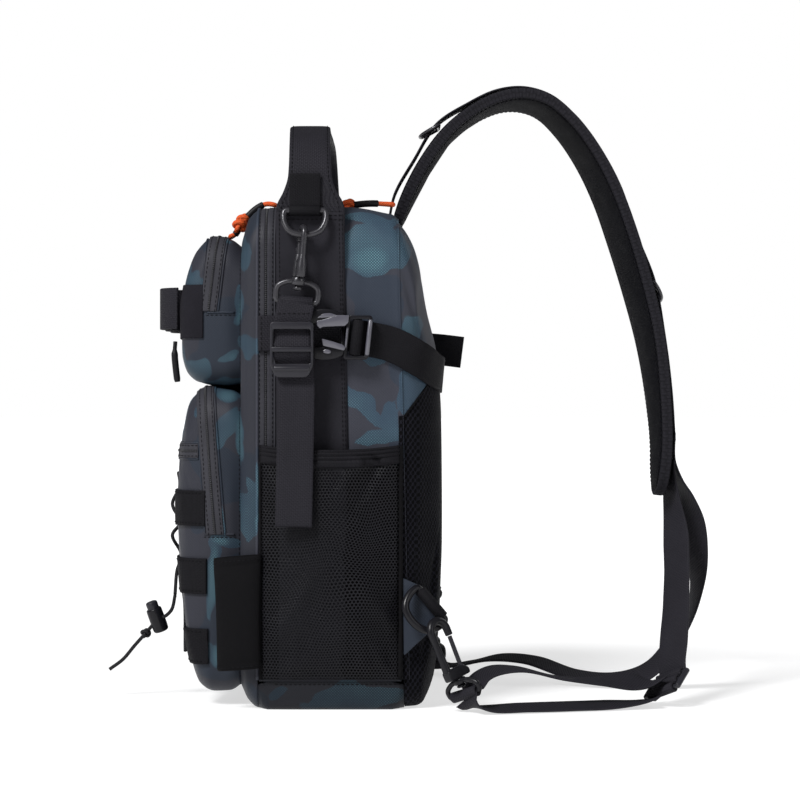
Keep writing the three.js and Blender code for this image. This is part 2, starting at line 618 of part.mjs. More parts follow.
// An elastic tool sleeve on the near side, open at its top and foot
function buildToolSleeve() {
  const CENTRE = { x: -68, y: -122.3 };
  const [LONG, SHORT] = [17.5, 6.5];
  const WALL = 1.5;
  const TURN = -0.34; // it slants from the pocket's side out to the gusset
  const [FOOT_Z, TOP_Z] = [27, 109];
  const SIDES = 20;
  const oval = (z, inset) => {
    const ring = [];
    for (let i = 0; i < SIDES; i++) {
      const angle = (2 * Math.PI * i) / SIDES;
      const [a, b] = [(LONG - inset) * Math.cos(angle), (SHORT - inset) * Math.sin(angle)];
      const x = CENTRE.x + a * Math.cos(TURN) - b * Math.sin(TURN);
      ring.push(new THREE.Vector3(x, CENTRE.y + a * Math.sin(TURN) + b * Math.cos(TURN), z));
    }
    return ring;
  };
  const rings = [oval(FOOT_Z, 0), oval(TOP_Z, 0), oval(TOP_Z, WALL), oval(FOOT_Z, WALL)];
  add("tool_sleeve", loft(rings, true), "black");
}

// Lacing, its tail and the cord lock

// x of the lower pocket's face at a height, in the middle of the pocket
function faceX(z) {
  const face = LOWER_POCKET.slice(2);
  for (let i = face.length - 1; i > 0; i--) {
    const [outer, inner] = [face[i], face[i - 1]];
    if (z >= outer.zLow && z <= outer.zHigh) return outer.x;
    const low = z < outer.zLow && z >= inner.zLow;
    const high = z > outer.zHigh && z <= inner.zHigh;
    if (low) return outer.x + ((inner.x - outer.x) * (outer.zLow - z)) / (outer.zLow - inner.zLow);
    if (high) return outer.x + ((inner.x - outer.x) * (z - outer.zHigh)) / (inner.zHigh - outer.zHigh);
  }
  return face[0].x;
}

const CORD_LOCK = { centre: [-130.5, -33, 56], axis: [-0.33, -0.12, 0.936] };
const tailRoute = TAIL.map(({ x, y, z }) => [x, y, z]);

function buildLacing() {
  const route = LACING.map(({ y, z, off }) => [faceX(z) - off, y, z]);
  add("bungee_lacing", tube(route, LACE_DIAMETER / 2, 32, 6), "cord");
  const knot = new THREE.SphereGeometry(KNOT_RADIUS, 7, 5).translate(...tailRoute[KNOT_AT]);
  add("bungee_tail", union(tube(tailRoute, LACE_DIAMETER / 2, 16, 6), knot), "cord");
}

// A barrel with a hole for the cord across it and a sprung button in its top
function buildCordLock() {
  const axis = new THREE.Vector3(...CORD_LOCK.axis).normalize();
  const along = (v) => new THREE.Vector3(...CORD_LOCK.centre).addScaledVector(axis, v).toArray();
  const [BARREL_R, BUTTON_R] = [5.8, 4.3];
  const [FOOT, TOP] = [-9, 9];
  const BORE_FLOOR = 3.6;
  const barrel = bar(along(FOOT), along(TOP), BARREL_R, 12);
  const bore = bar(along(BORE_FLOOR), along(TOP + 1), BUTTON_R + SEAM_GAP, 12);
  const cordHole = tube(tailRoute.slice(1, 5), LACE_DIAMETER / 2 + 0.6, 8, 6);
  add("cord_lock_barrel", cut(barrel, bore, cordHole), "plastic");
  add("cord_lock_button", bar(along(BORE_FLOOR + 3.6), along(TOP + 5.5), BUTTON_R, 12), "plastic");
}

// Zip pulls

// A cord loop through the slider, gripped by a dark tube and ending in a knot
function buildZipPulls() {
  const PULLS = [
    { name: "zip_pull_front", route: [[-44, -40, 356], [-50, -40, 355.6], [-57, -41, 353], [-66.8, -43, 347.6]] },
    { name: "zip_pull_pocket", route: [[-76, -52, 335.2], [-72, -53, 337.6], [-69, -54.5, 343]] },
    { name: "zip_pull_back", route: [[42, -33, 356.8], [34, -36, 356], [26, -39, 356.3], [9.5, -40, 358.6]] },
  ];
  for (const { name, route } of PULLS) {
    const knot = new THREE.SphereGeometry(4.1, 7, 5).translate(...route[route.length - 1]);
    const grip = tube(route, 2.1, 7, 6);
    add(name, union(grip, knot), "orange");
  }
  const GRIP = [[-114.4, -70, 259], [-114.8, -71, 250], [-114, -71, 240], [-112.8, -71, 230]];
  add("hook_panel_pull", tube(GRIP, 2.4, 6, 6), "cord");
}

// The arch of a swivel eye: from its crown down both sides to a straight bar that carries the strap
function eyeFrame(crownZ, barZ, wireRadius) {
  const HALF = 14.6;
  const side = [[0.15, crownZ], [0.6, crownZ - 1], [0.97, crownZ - 4.6], [1, barZ + 3], [0.92, barZ], [0.35, barZ]];
  const right = side.map(([x, z]) => new THREE.Vector3(x * HALF, 0, z));
  const left = right.slice().reverse().map((p) => new THREE.Vector3(-p.x, 0, p.z));
  const path = new THREE.CatmullRomCurve3([...right, ...left], true, "centripetal");
  return new THREE.TubeGeometry(path, 18, wireRadius, 5, true);
}

// Side hanger: D-ring, swivel snap hook with a sliding bolt, and an adjustable hanging strap

const SIDE_RING = { x: -19.3, y: -128.4, z: 349, wire: 3.5 };
const SIDE_HOOK = { x: -19.3, y: -139.4, z: 331.2 };

function buildSideRing() {
  const { x, y, z, wire } = SIDE_RING;
  const HALF = 10.8;
  const loop = sleeve([x - HALF, y, z], [x + HALF, y, z], wire / 2);
  const tab = block([x - HALF, -127.2, z + 1], [x + HALF, -124.5, z + 27]);
  add("dring_loop", cut(union(loop.outer, tab), loop.bore), "black");
  const LEAN = -0.33; // the hook pushes the bow off the side
  const ring = dRing(29, 18, wire).rotateX(LEAN).translate(x, y, z);
  add("side_dring", ring, "metal");
}

function buildSideHook() {
  const group = new THREE.Group();
  group.position.set(SIDE_HOOK.x, SIDE_HOOK.y, SIDE_HOOK.z);
  group.rotation.set(0, 0.09, 0);
  const turned = new THREE.Group();
  turned.rotation.z = THREE.MathUtils.degToRad(106); // the bow lies across the ring
  group.add(turned);
  bag.add(group);

  const BEND = 5.5; // radius of the bow's centre line
  const WIRE = 2.1;
  const bow = [[0, 0, -20]];
  for (let i = 0; i <= 6; i++) {
    const angle = Math.PI - (Math.PI * i) / 6;
    bow.push([BEND + BEND * Math.cos(angle), 0, BEND * Math.sin(angle)]);
  }
  bow.push([2 * BEND, 0, -4]);
  const body = block([-2.6, -3.2, -29], [13.8, 3.2, -17]);
  const post = bar([BEND, 0, -28], [BEND, 0, -36], 2);
  const head = bar([BEND, 0, -35.4], [BEND, 0, -38.4], 3.3);
  const bore = bar([2 * BEND, 0, -28], [2 * BEND, 0, -16], 2.15);
  const fixed = union(tube(bow, WIRE, 14), body, post, head);
  add("side_hook", cut(fixed, bore), "metal", turned);

  const bolt = bar([2 * BEND, 0, -21], [2 * BEND, 0, -4.4], 1.75);
  const knob = bar([2 * BEND, 0, -9.5], [2 * BEND + 4.5, 0, -9.5], 1.5);
  add("side_hook_gate", union(bolt, knob), "metal", turned);

  // The eye: a collar round the post carries an arch with a bar for the strap
  const swing = new THREE.Group();
  swing.rotation.z = -turned.rotation.z;
  swing.position.set(BEND, 0, 0);
  turned.add(swing);
  const frame = eyeFrame(-32.2, -46, 1.6);
  const collar = bar([0, 0, -34.9], [0, 0, -29.4], 4.2, 10);
  const clear = bar([0, 0, -35.2], [0, 0, -29], 2.45, 10);
  const room = bar([0, 0, -42.5], [0, 0, -35.1], 4.4, 10);
  add("side_hook_eye", cut(union(frame, collar), clear, room), "metal", swing);
}

const LADDER = { x: -27.9, y: -139.2, zLow: 231, zHigh: 271, width: 30 };
const EYE_BAR = { x: -24.95, y: -134.1, z: 285.5, fall: 1.03 };

function buildHangStrap() {
  const HALF = WEBBING_WIDTH / 2;
  const { x } = LADDER;
  const level = (y, z, dx = 0) => ({ x: x + dx, y, z, across: [1, 0, 0] });
  const rows = [
    level(EYE_BAR.y - 2.9, EYE_BAR.z - 0.5, 2.9), level(-138.2, 277, 1.4), level(-138.5, 266.3), level(-140.4, 260),
    level(-142.4, 255), level(-142.5, 252), level(-142.4, 249), level(-140.4, 245.5), level(-138.5, 241.2),
    level(-138.5, 231), level(-139.4, 224), level(-141.2, 200), level(-141.6, 160), level(-141.2, 129),
  ];
  const reach = HALF - 1;
  const eye = sleeve(
    [EYE_BAR.x - reach, EYE_BAR.y, EYE_BAR.z + EYE_BAR.fall], [EYE_BAR.x + reach, EYE_BAR.y, EYE_BAR.z - EYE_BAR.fall], 1.6);
  add("hang_strap", cut(union(webbing(rows), eye.outer), eye.bore), "black");

  // A frame with two windows; the strap runs behind the outer bars and over the middle one
  const { zLow, zHigh, width } = LADDER;
  const half = width / 2;
  const outline = [
    [-half + 4, zLow], [half - 4, zLow], [half, zLow + 9], [half, zHigh - 2], [half - 2, zHigh],
    [-half + 2, zHigh], [-half, zHigh - 2], [-half, zLow + 9],
  ];
  const windows = rectangle(-half + 1.9, zLow + 11, half - 1.9, zHigh - 5);
  const frame = plate(outline, [windows], 4.6).translate(x, -139.9, 0);
  const middle = block([x - half + 1, -141.2, 250.3], [x + half - 1, -138.8, 253.7]);
  const ledge = block([x - half + 0.2, -143.9, 249.8], [x - half + 1.9, -138.8, 254.2]);
  const ledgeFar = block([x + half - 1.9, -143.9, 249.8], [x + half - 0.2, -138.8, 254.2]);
  add("ladder_lock", union(frame, middle, ledge, ledgeFar), "plastic");
}

// Compression straps

const STRAP_Z = [251, 276];
const OVER_BAND = 2.2; // the straps lie over the side bands

// A layer of webbing over one side of the body
function sideStrap(x0, x1, side) {
  const outer = [x0, -20, 8, x1].map((x) => sectionRing(sectionAt(BODY, x), OVER_BAND + WEBBING));
  const inner = [x0, -20, 8, x1].map((x) => sectionRing(sectionAt(BODY, x), OVER_BAND)).reverse();
  const yLow = side === NEAR ? -FAR_AWAY : 60;
  const region = block([-FAR_AWAY, yLow, STRAP_Z[0]], [FAR_AWAY, yLow + FAR_AWAY - 60, STRAP_Z[1]]);
  return keep(loft([...outer, ...inner], true), region);
}

function buildCompressionStrap() {
  add("compress_front", sideStrap(ZIP_FRONT_X + 0.3, 12, NEAR), "black");

  const Y = -127.6; // inner face of the buckle
  const DEPTH = 8.6;
  const Z = (STRAP_Z[0] + STRAP_Z[1]) / 2 - 1;
  const female = [
    [-22, -13], [-20, -15.5], [-8, -18], [2, -17], [8, -14.5], [8, 14.5], [2, 17], [-8, 18], [-20, 15.5], [-22, 13],
  ];
  const mouth = [[-8, -8], [5, -6], [5, 6], [-8, 8]];
  const shell = plate(female.map(([x, z]) => [x, z + Z]), [mouth.map(([x, z]) => [x, z + Z])], DEPTH);
  add("buckle_female", shell.translate(0, Y, 0), "plastic");

  const frame = plate(rectangle(8.3, Z - 16, 28, Z + 16), [rectangle(11.2, Z - 12.8, 25.4, Z + 12.8)], DEPTH - 2);
  const crossBar = bar([17, Y - 3.3, Z - 14], [17, Y - 3.3, Z + 14], 2.2);
  add("buckle_male", union(frame.translate(0, Y, 0), crossBar), "plastic");

  // The rear strap is looped about the buckle's bar and runs back round the edge of the pad
  const loop = sleeve([17, Y - 3.3, Z - 12.3], [17, Y - 3.3, Z + 12.3], 2.2);
  const up = [0, 0, 1];
  const rows = [
    { x: 20.4, y: Y - 3.3, z: Z, across: up }, { x: 23, y: -128.6, z: Z - 0.2, across: up },
    { x: 25, y: -126.4, z: Z - 0.4, across: up }, { x: 31, y: -125.6, z: Z - 1.2, across: [0.04, 0, 1] }, { x: 40, y: -124.4, z: Z - 4, across: [0.3, 0, 0.95] },
    { x: 50, y: -123.6, z: Z - 9.5, across: [0.48, 0, 0.87] }, { x: 58, y: -121.6, z: Z - 15, across: [0.5, 0, 0.86] },
    { x: 65, y: -115.8, z: Z - 19.5, across: [0.45, 0.2, 0.86] },
  ];
  add("compress_rear", cut(union(loop.outer, webbing(rows, 24.4)), loop.bore), "black");

  const farRows = [
    { x: 30, y: 124.7, z: 262.5, across: up }, { x: 48, y: 123.4, z: 260.5, across: up },
    { x: 64, y: 121, z: 258, across: up }, { x: 80, y: 118, z: 256.5, across: up }, { x: 96, y: 116, z: 254.5, across: up },
  ];
  add("compress_far", union(sideStrap(ZIP_FRONT_X + 0.3, 30.5, FAR), webbing(farRows, 24.6)), "black");
  const farOutline = rectangle(-18, STRAP_Z[0] - 4, 22, STRAP_Z[1] + 4);
  add("buckle_far", plate(farOutline, [], 7).translate(0, 133.5, 0), "plastic");
}

// Shoulder strap

function padRows() {
  return SHOULDER_PAD.map((row, i) => {
    const before = SHOULDER_PAD[Math.max(i - 1, 0)];
    const after = SHOULDER_PAD[Math.min(i + 1, SHOULDER_PAD.length - 1)];
    const along = new THREE.Vector3(after.x - before.x, after.y - before.y, after.z - before.z).normalize();
    const level = new THREE.Vector3(0, 1, 0).addScaledVector(along, -along.y).normalize();
    const across = level.applyAxisAngle(along, -THREE.MathUtils.degToRad(row.twist));
    return { ...row, at: new THREE.Vector3(row.x, row.y, row.z), along, across, outward: along.clone().cross(across) };
  });
}

function buildShoulderPad() {
  const rows = padRows();
  add("shoulder_pad", loft(strapRings(rows, paddedSection)), "pad");

  const onPad = rows.slice(0, PAD_WEBBING_LIFT.length).map((row, i) => {
    const off = row.thick / 2 + 3 * SEAM_GAP + WEBBING / 2 + PAD_WEBBING_LIFT[i];
    return { at: row.at.clone().addScaledVector(row.outward, off), across: row.across, width: 25, thick: WEBBING };
  });
  add("pad_webbing", loft(strapRings(onPad, flatSection)), "black");

  const RINGS = [{ name: "pad_ring_upper", station: 3 }, { name: "pad_ring_lower", station: 12 }];
  const WIRE = 3;
  for (const { name, station } of RINGS) {
    const row = rows[station];
    const ring = add(name, dRing(30, 15, WIRE), "metal");
    const basis = new THREE.Matrix4().makeBasis(row.across, row.along, row.outward.clone().negate());
    const seat = row.at.clone().addScaledVector(row.outward, row.thick / 2 + 3.8);
    ring.matrixAutoUpdate = false;
    ring.matrix.copy(basis).setPosition(seat);
  }
}

// The slider where the near leg meets its two strands: three bars, each in a webbing sleeve
const SLIDER = { centre: [236, -95, 15.8], along: [0.66, -0.67, 0.34], up: [0.5, 0.62, 0.57], pitch: 8.4 };

function sliderFrame() {
  const along = new THREE.Vector3(...SLIDER.along).normalize();
  const rough = new THREE.Vector3(...SLIDER.up);
  const up = rough.addScaledVector(along, -rough.dot(along)).normalize();
  const centre = new THREE.Vector3(...SLIDER.centre);
  const at = (u, v) => centre.clone().addScaledVector(along, u).addScaledVector(up, v).toArray();
  return { at };
}

function buildLegs() {
  const { at } = sliderFrame();
  const BAR = 1.6;
  const HALF = 15.4;
  const SLEEVE = WEBBING_WIDTH / 2 - 0.5;
  const rungs = [-SLIDER.pitch, 0, SLIDER.pitch];
  const bars = rungs.map((v) => bar(at(-HALF, v), at(HALF, v), BAR, 6));
  const rails = [-HALF, HALF].map((u) => bar(at(u, -SLIDER.pitch - 1.4), at(u, SLIDER.pitch + 1.4), 2, 6));
  add("strap_slider", union(...bars, ...rails), "plastic");

  const onRung = (v) => sleeve(at(-SLEEVE, v), at(SLEEVE, v), BAR);
  const sewn = (name, rows, ...sleeves) => {
    const outer = sleeves.map((one) => one.outer);
    const bores = sleeves.map((one) => one.bore);
    add(name, cut(union(webbing(rows), ...outer), ...bores), "black");
  };
  sewn("strap_leg_near", LEG_NEAR, onRung(rungs[2]));
  sewn("strap_leg_loop", LEG_LOOP, onRung(rungs[1]));
  sewn("strap_leg_floor", LEG_FLOOR, onRung(rungs[0]), onHookEye(NEAR));
  sewn("strap_leg_far", LEG_FAR, onHookEye(FAR));
}

// Lower anchors: a fabric tab with a webbing sleeve, a D-ring and a snap hook on each side

const ANCHOR_BAR = { from: [61, 84.5], to: [77, 65.6] }; // x, z of the ring's bar
const ANCHOR_Y = 127;
const RING_LIFT = 0.5; // the rings stand off the sides by this angle

function buildAnchor(suffix, side) {
  const y = side * ANCHOR_Y;
  const { from, to } = ANCHOR_BAR;
  const WIRE = 4;
  const loop = sleeve([from[0], y, from[1]], [to[0], y, to[1]], WIRE / 2);
  const outline = [[seamX(92) + 0.6, 93], [from[0], from[1] + 2.6], [to[0] + 2, to[1]], [seamX(38) + 0.6, 38]];
  const tab = plate(outline, [], 2.4).translate(0, side === NEAR ? -121.1 : 123.5, 0);
  add(`anchor_tab_${suffix}`, cut(union(tab, loop.outer), loop.bore), "camo");

  const middle = [(from[0] + to[0]) / 2, (from[1] + to[1]) / 2];
  const angle = Math.atan2(from[1] - to[1], to[0] - from[0]);
  const ring = add(`anchor_dring_${suffix}`, dRing(30, 20, WIRE), "plastic");
  const placed = new THREE.Group();
  placed.position.set(middle[0], y, middle[1]);
  placed.rotation.set(0, angle, 0);
  ring.rotation.x = side * RING_LIFT;
  placed.add(ring);
  bag.add(placed);
}

// The near hook shows its bow; its gate turns about a pin at its foot
const LOWER_HOOKS = {
  [NEAR]: { x: 74.2, y: -138.6, z: 56, lean: -0.4 }, // lean: the foot swings out towards the back
  [FAR]: { x: 66, y: 142.6, z: 56, lean: -0.12 },
};
const HOOK_TURN = 0.8; // of the bow, about the hook's own length
const EYE_TURN = -0.72; // of the swivel eye, about the same axis
const HOOK = { half: 8, wire: 2.4, eyeCrown: -36.6, eyeBar: -46.5, eyeWire: 1.8 };
const GATE_PIN = { u: 6.6, v: -28.6 };

function hookGroup(side, turn) {
  const group = new THREE.Group();
  const { x, y, z, lean } = LOWER_HOOKS[side];
  group.position.set(x, y, z);
  group.rotation.set(0, lean, 0);
  const turned = new THREE.Group();
  turned.rotation.z = -side * turn;
  group.add(turned);
  bag.add(group);
  bag.updateMatrixWorld(true);
  return turned;
}

// The webbing sleeve about a lower hook's eye
function onHookEye(side) {
  const frame = hookGroup(side, EYE_TURN);
  const reach = WEBBING_WIDTH / 2 - 0.5;
  const end = (u) => frame.localToWorld(new THREE.Vector3(u, 0, HOOK.eyeBar)).toArray();
  return sleeve(end(-reach), end(reach), HOOK.eyeWire);
}

// The bow and shaft of a snap hook, with a block at its foot
function hookBow() {
  const { half, wire } = HOOK;
  const bow = [[-half, 0, -28], [-half, 0, -14]];
  for (let i = 0; i <= 6; i++) {
    const angle = Math.PI - (Math.PI * i) / 6;
    bow.push([half * Math.cos(angle), 0, half * Math.sin(angle)]);
  }
  bow.push([half, 0, -5]);
  return union(tube(bow, wire, 14), block([-half - 2.4, -3.4, -34.2], [half + 2.4, 3.4, -26.6]));
}

function buildLowerHooks() {
  const near = hookGroup(NEAR, HOOK_TURN);
  const { u, v } = GATE_PIN;
  const post = bar([0, 0, -33], [0, 0, -40], 2.2);
  const head = bar([0, 0, -39], [0, 0, -41], 3.6);
  const notch = block([u - 4.6, -2.2, -31.4], [u + 5, 2.2, -26]);
  add("lower_hook", cut(union(hookBow(), post, head), notch), "plastic", near);

  const gate = bar([u, 0, v], [HOOK.half - 0.2, 0, -5.6], 1.6, 8);
  const foot = bar([u, -1.9, v], [u, 1.9, v], 2, 12);
  add("lower_hook_gate", union(gate, foot), "plastic", near);

  const swivel = hookGroup(NEAR, EYE_TURN);
  const frame = eyeFrame(HOOK.eyeCrown, HOOK.eyeBar, HOOK.eyeWire);
  const collar = bar([0, 0, -38.6], [0, 0, -34.6], 4.6, 10);
  const clear = bar([0, 0, -39], [0, 0, -34], 2.7, 10);
  const room = bar([0, 0, -43], [0, 0, -38.7], 4.6, 10);
  add("lower_hook_eye", cut(union(frame, collar), clear, room), "plastic", swivel);

  const far = hookGroup(FAR, HOOK_TURN);
  const closed = bar([HOOK.half, 0, -28], [HOOK.half, 0, -4], 1.8);
  const farFrame = eyeFrame(HOOK.eyeCrown + 2.4, HOOK.eyeBar, HOOK.eyeWire).rotateZ(HOOK_TURN - EYE_TURN);
  const neck = bar([0, 0, -36.4], [0, 0, -33], 4.4, 12);
  add("lower_hook_far", union(hookBow(), closed, neck, farFrame), "plastic", far);
}

buildBody();
buildBackPad();
buildSideBand("side_band_near", NEAR);
buildSideBand("side_band_far", FAR);
buildMeshPocket("mesh_pocket_near", NEAR);
buildMeshPocket("mesh_pocket_far", FAR);
buildHandle();
buildFrontPockets();
buildUpperWebbing();
buildToolSleeve();
buildLacing();
buildCordLock();
buildZipPulls();
buildSideRing();
buildSideHook();
buildHangStrap();
buildCompressionStrap();
buildShoulderPad();
buildLegs();
buildAnchor("near", NEAR);
buildAnchor("far", FAR);
buildLowerHooks();

export default bag;
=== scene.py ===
"""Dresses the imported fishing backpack: cloth, webbing, net, cords and hardware on the fixed frame.

Tables are in millimetres in the frame of the part: +X is the wearer's back, -Y the side with the hanging
strap, +Z up. Meshes are made in metres with their place in their points.
"""

import math
from collections import namedtuple

import bmesh
import bpy
import numpy as np
from mathutils import Matrix, Vector, noise
from mathutils.bvhtree import BVHTree


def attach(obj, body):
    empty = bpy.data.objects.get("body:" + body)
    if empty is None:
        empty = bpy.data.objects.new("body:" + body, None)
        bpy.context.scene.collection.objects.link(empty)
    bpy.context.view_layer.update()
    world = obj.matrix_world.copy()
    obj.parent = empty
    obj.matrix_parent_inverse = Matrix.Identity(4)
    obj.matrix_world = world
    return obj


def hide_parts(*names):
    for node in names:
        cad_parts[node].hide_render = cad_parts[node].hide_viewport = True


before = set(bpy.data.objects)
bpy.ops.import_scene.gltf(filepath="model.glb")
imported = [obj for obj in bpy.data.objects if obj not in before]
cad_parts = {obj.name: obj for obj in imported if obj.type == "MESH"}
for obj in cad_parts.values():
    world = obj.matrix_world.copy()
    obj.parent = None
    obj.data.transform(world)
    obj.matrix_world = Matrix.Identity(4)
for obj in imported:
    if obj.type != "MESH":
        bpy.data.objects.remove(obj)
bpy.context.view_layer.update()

bl_info = {
    "name": "Fishing backpack",
    "version": (1, 0, 0),
    "blender": (4, 5, 0),
    "location": "View3D > Sidebar > Backpack",
    "description": "Builds the cloth, straps and hardware of a single-shoulder fishing backpack",
    "category": "Object",
}

MM = 0.001
BODY_HEIGHT = 354.0
NEAR = -1
FAR = 1
SIDES = ((NEAR, "near"), (FAR, "far"))
CLOTH_MAP = "Cloth"
CAMOUFLAGE = "Camouflage cloth"

Section = namedtuple("Section", "x half low high top_radius foot_radius bulge lean")
Shape = namedtuple("Shape", "points faces maps")


def sections(*rows):
    """A table of rounded sections, in the columns that Section names."""
    return [Section(*row) for row in rows]


# The body from front to back
BODY = sections(
    (-65, 113, 14, 331, 30, 22, 0, 0),
    (-60, 118, 5, 346, 30, 20, 1, 0),
    (-52.5, 120, 0, 352, 30, 18, 1.5, 0),
    (-20, 121, 0, 354, 30, 18, 2, 0),
    (10, 121, 0, 354, 30, 18, 2, 0),
    (41, 120, 0, 349, 30, 18, 1, 9),
)
# Back pad, from the seam outwards
BACK_PAD = sections(
    (41.3, 120, 0, 349, 30, 18, 1, 9),
    (49, 119.5, 0, 341, 32, 22, 1, 8),
    (57, 117, 1, 327, 38, 22, 0, 7),
    (64, 110, 8, 302, 45, 26, 0, 5),
    (71.5, 97, 48, 264, 50, 45, 0, 3),
    (75.4, 72, 100, 218, 50, 50, 0, 2),
)
# Front pockets, from the rim to the face
UPPER_POCKET = sections(
    (-65.3, 92, 229, 326, 24, 18, 0, 0),
    (-76, 93, 227.8, 333, 24, 18, 1, 0),
    (-88, 92, 227.9, 334, 24, 18, 1, 0),
    (-98, 89, 229.5, 325, 24, 20, 1, 0),
    (-105.5, 84, 236, 308, 22, 20, 0, 0),
    (-110, 74, 247, 289, 16, 16, 0, 0),
)
LOWER_POCKET = sections(
    (-65.3, 102, 15, 220, 26, 22, 0, 0),
    (-74, 103, 10, 224.8, 26, 22, 1, 0),
    (-86, 103, 9.5, 225.8, 26, 22, 1, 0),
    (-95, 100.5, 14, 224, 26, 24, 1, 0),
    (-101, 97, 26, 220, 26, 26, 0, 0),
    (-106, 92, 52, 214, 26, 26, 0, 0),
    (-109.5, 82, 110, 196, 22, 22, 0, 0),
)

# Paths and shapes


def unit(vectors):
    """Vectors of length one along the last axis."""
    vectors = np.asarray(vectors, float)
    return vectors / np.maximum(np.linalg.norm(vectors, axis=-1, keepdims=True), 1e-12)


def smooth_path(rows, step, closed=False):
    """A smooth line through rows, at equal steps of about step. Columns after the first three go along."""
    rows = np.asarray(rows, float)
    if closed:
        padded = np.vstack([rows[-1:], rows, rows[:2]])
    else:
        padded = np.vstack([2 * rows[:1] - rows[1:2], rows, 2 * rows[-1:] - rows[-2:-1]])
    chords = np.linalg.norm(np.diff(padded[:, :3], axis=0), axis=1)
    knots = np.concatenate([[0], np.cumsum(np.sqrt(chords) + 1e-9)])
    fine = []
    for i in range(1, len(padded) - 2):
        t = np.linspace(knots[i], knots[i + 1], 20, endpoint=False)[:, None]

        def mix(a, b, start, end):
            return ((knots[end] - t) * a + (t - knots[start]) * b) / (knots[end] - knots[start])

        first = mix(padded[i - 1], padded[i], i - 1, i)
        middle = mix(padded[i], padded[i + 1], i, i + 1)
        last = mix(padded[i + 1], padded[i + 2], i + 1, i + 2)
        fine.append(mix(mix(first, middle, i - 1, i + 1), mix(middle, last, i, i + 2), i, i + 1))
    fine.append(padded[-2:-1])
    return resample(np.vstack(fine), step=step, closed=closed)


def resample(line, count=None, step=None, closed=False):
    """The same line at equal steps. A closed one doesn't repeat its first point."""
    line = np.asarray(line, float)
    if closed and np.linalg.norm(line[0, :3] - line[-1, :3]) > 1e-6:
        line = np.vstack([line, line[:1]])
    run = np.concatenate([[0], np.cumsum(np.linalg.norm(np.diff(line[:, :3], axis=0), axis=1))])
    if count is None:
        count = max(int(round(run[-1] / step)), 3) + (0 if closed else 1)
    places = np.linspace(0, run[-1], count, endpoint=not closed)
    return np.stack([np.interp(places, run, column) for column in line.T], 1)


def tangents(line, closed=False):
    """Directions along a line."""
    if closed:
        return unit(np.roll(line, -1, 0) - np.roll(line, 1, 0))
    return unit(np.gradient(line, axis=0))


def full_turn(count):
    """Angles at equal steps round a circle."""
    return np.linspace(0, 2 * np.pi, count, endpoint=False)


def loft(rings, wrap=True, loop=False, caps=True):
    """Joins rings of points; wrap closes each ring, loop joins the last to the first. Maps are in mm."""
    rings = np.asarray(rings, float)
    rows, count = rings.shape[:2]
    following = np.concatenate([rings, rings[:, :1]], 1)
    around = np.linalg.norm(np.diff(following, axis=1), axis=2)
    u = np.concatenate([np.zeros((rows, 1)), np.cumsum(around, 1)], 1)
    steps = np.linalg.norm(np.roll(rings, -1, 0) - rings, axis=2).mean(1)
    v = np.concatenate([[0], np.cumsum(steps)])
    faces, maps = [], []
    for i in range(rows if loop else rows - 1):
        here, there = i * count, ((i + 1) % rows) * count
        k = (i + 1) % rows
        for j in range(count if wrap else count - 1):
            m = (j + 1) % count
            faces.append((here + j, here + m, there + m, there + j))
            maps.append(((u[i, j], v[i]), (u[i, j + 1], v[i]), (u[k, j + 1], v[i + 1]), (u[k, j], v[i + 1])))
    if caps and wrap and not loop:
        last = (rows - 1) * count
        faces.append(tuple(range(count - 1, -1, -1)))
        maps.append(tuple((u[0, j], v[0]) for j in range(count - 1, -1, -1)))
        faces.append(tuple(range(last, last + count)))
        maps.append(tuple((u[-1, j], v[rows - 1]) for j in range(count)))
    return Shape(rings.reshape(-1, 3), faces, maps)


def sweep(line, radius, sides, closed=False):
    """A round bar along a line; radius may change along it."""
    line = np.asarray(line, float)[:, :3]
    along = tangents(line, closed)
    radius = np.broadcast_to(np.asarray(radius, float), len(line))
    helper = np.eye(3)[np.argmin(np.abs(along[0]))]
    side = unit(np.cross(along[0], helper))
    sides_along = []
    for t in along:
        side = unit(side - t * side.dot(t))
        sides_along.append(side)
    sides_along = np.array(sides_along)
    other = np.cross(along, sides_along)
    if closed:
        carried = unit(sides_along[-1] - along[0] * sides_along[-1].dot(along[0]))
        twist = math.atan2(carried.dot(other[0]), carried.dot(sides_along[0]))
        turn = -twist * np.arange(len(line)) / len(line)
        c, s = np.cos(turn)[:, None], np.sin(turn)[:, None]
        sides_along, other = sides_along * c + other * s, other * c - sides_along * s
    angle = full_turn(sides)
    c, s = np.cos(angle)[None, :, None], np.sin(angle)[None, :, None]
    rings = line[:, None] + radius[:, None, None] * (c * sides_along[:, None] + s * other[:, None])
    return loft(rings, loop=closed)


def lathe(profile, base=(0, 0, 0), axis=(0, 0, 1), sides=24, loop=False):
    """A turned shape: profile is pairs of distance along axis and radius; loop joins its two ends."""
    axis = unit(axis)
    side = unit(np.cross(axis, np.eye(3)[np.argmin(np.abs(axis))]))
    other = np.cross(axis, side)
    angle = full_turn(sides)
    circle = np.cos(angle)[:, None] * side + np.sin(angle)[:, None] * other
    rings = [np.asarray(base, float) + axis * along + circle * radius for along, radius in profile]
    return loft(rings, loop=loop)


def tube_wall(start, end, inner, outer):
    """A round sleeve about the line from start to end."""
    run = np.asarray(end, float) - np.asarray(start, float)
    long = np.linalg.norm(run)
    edge = min(0.5, (outer - inner) / 3)
    profile = [(0, inner), (0, outer - edge), (edge, outer)]
    profile += [(long - edge, outer), (long, outer - edge), (long, inner)]
    return lathe(profile, start, run, loop=True)


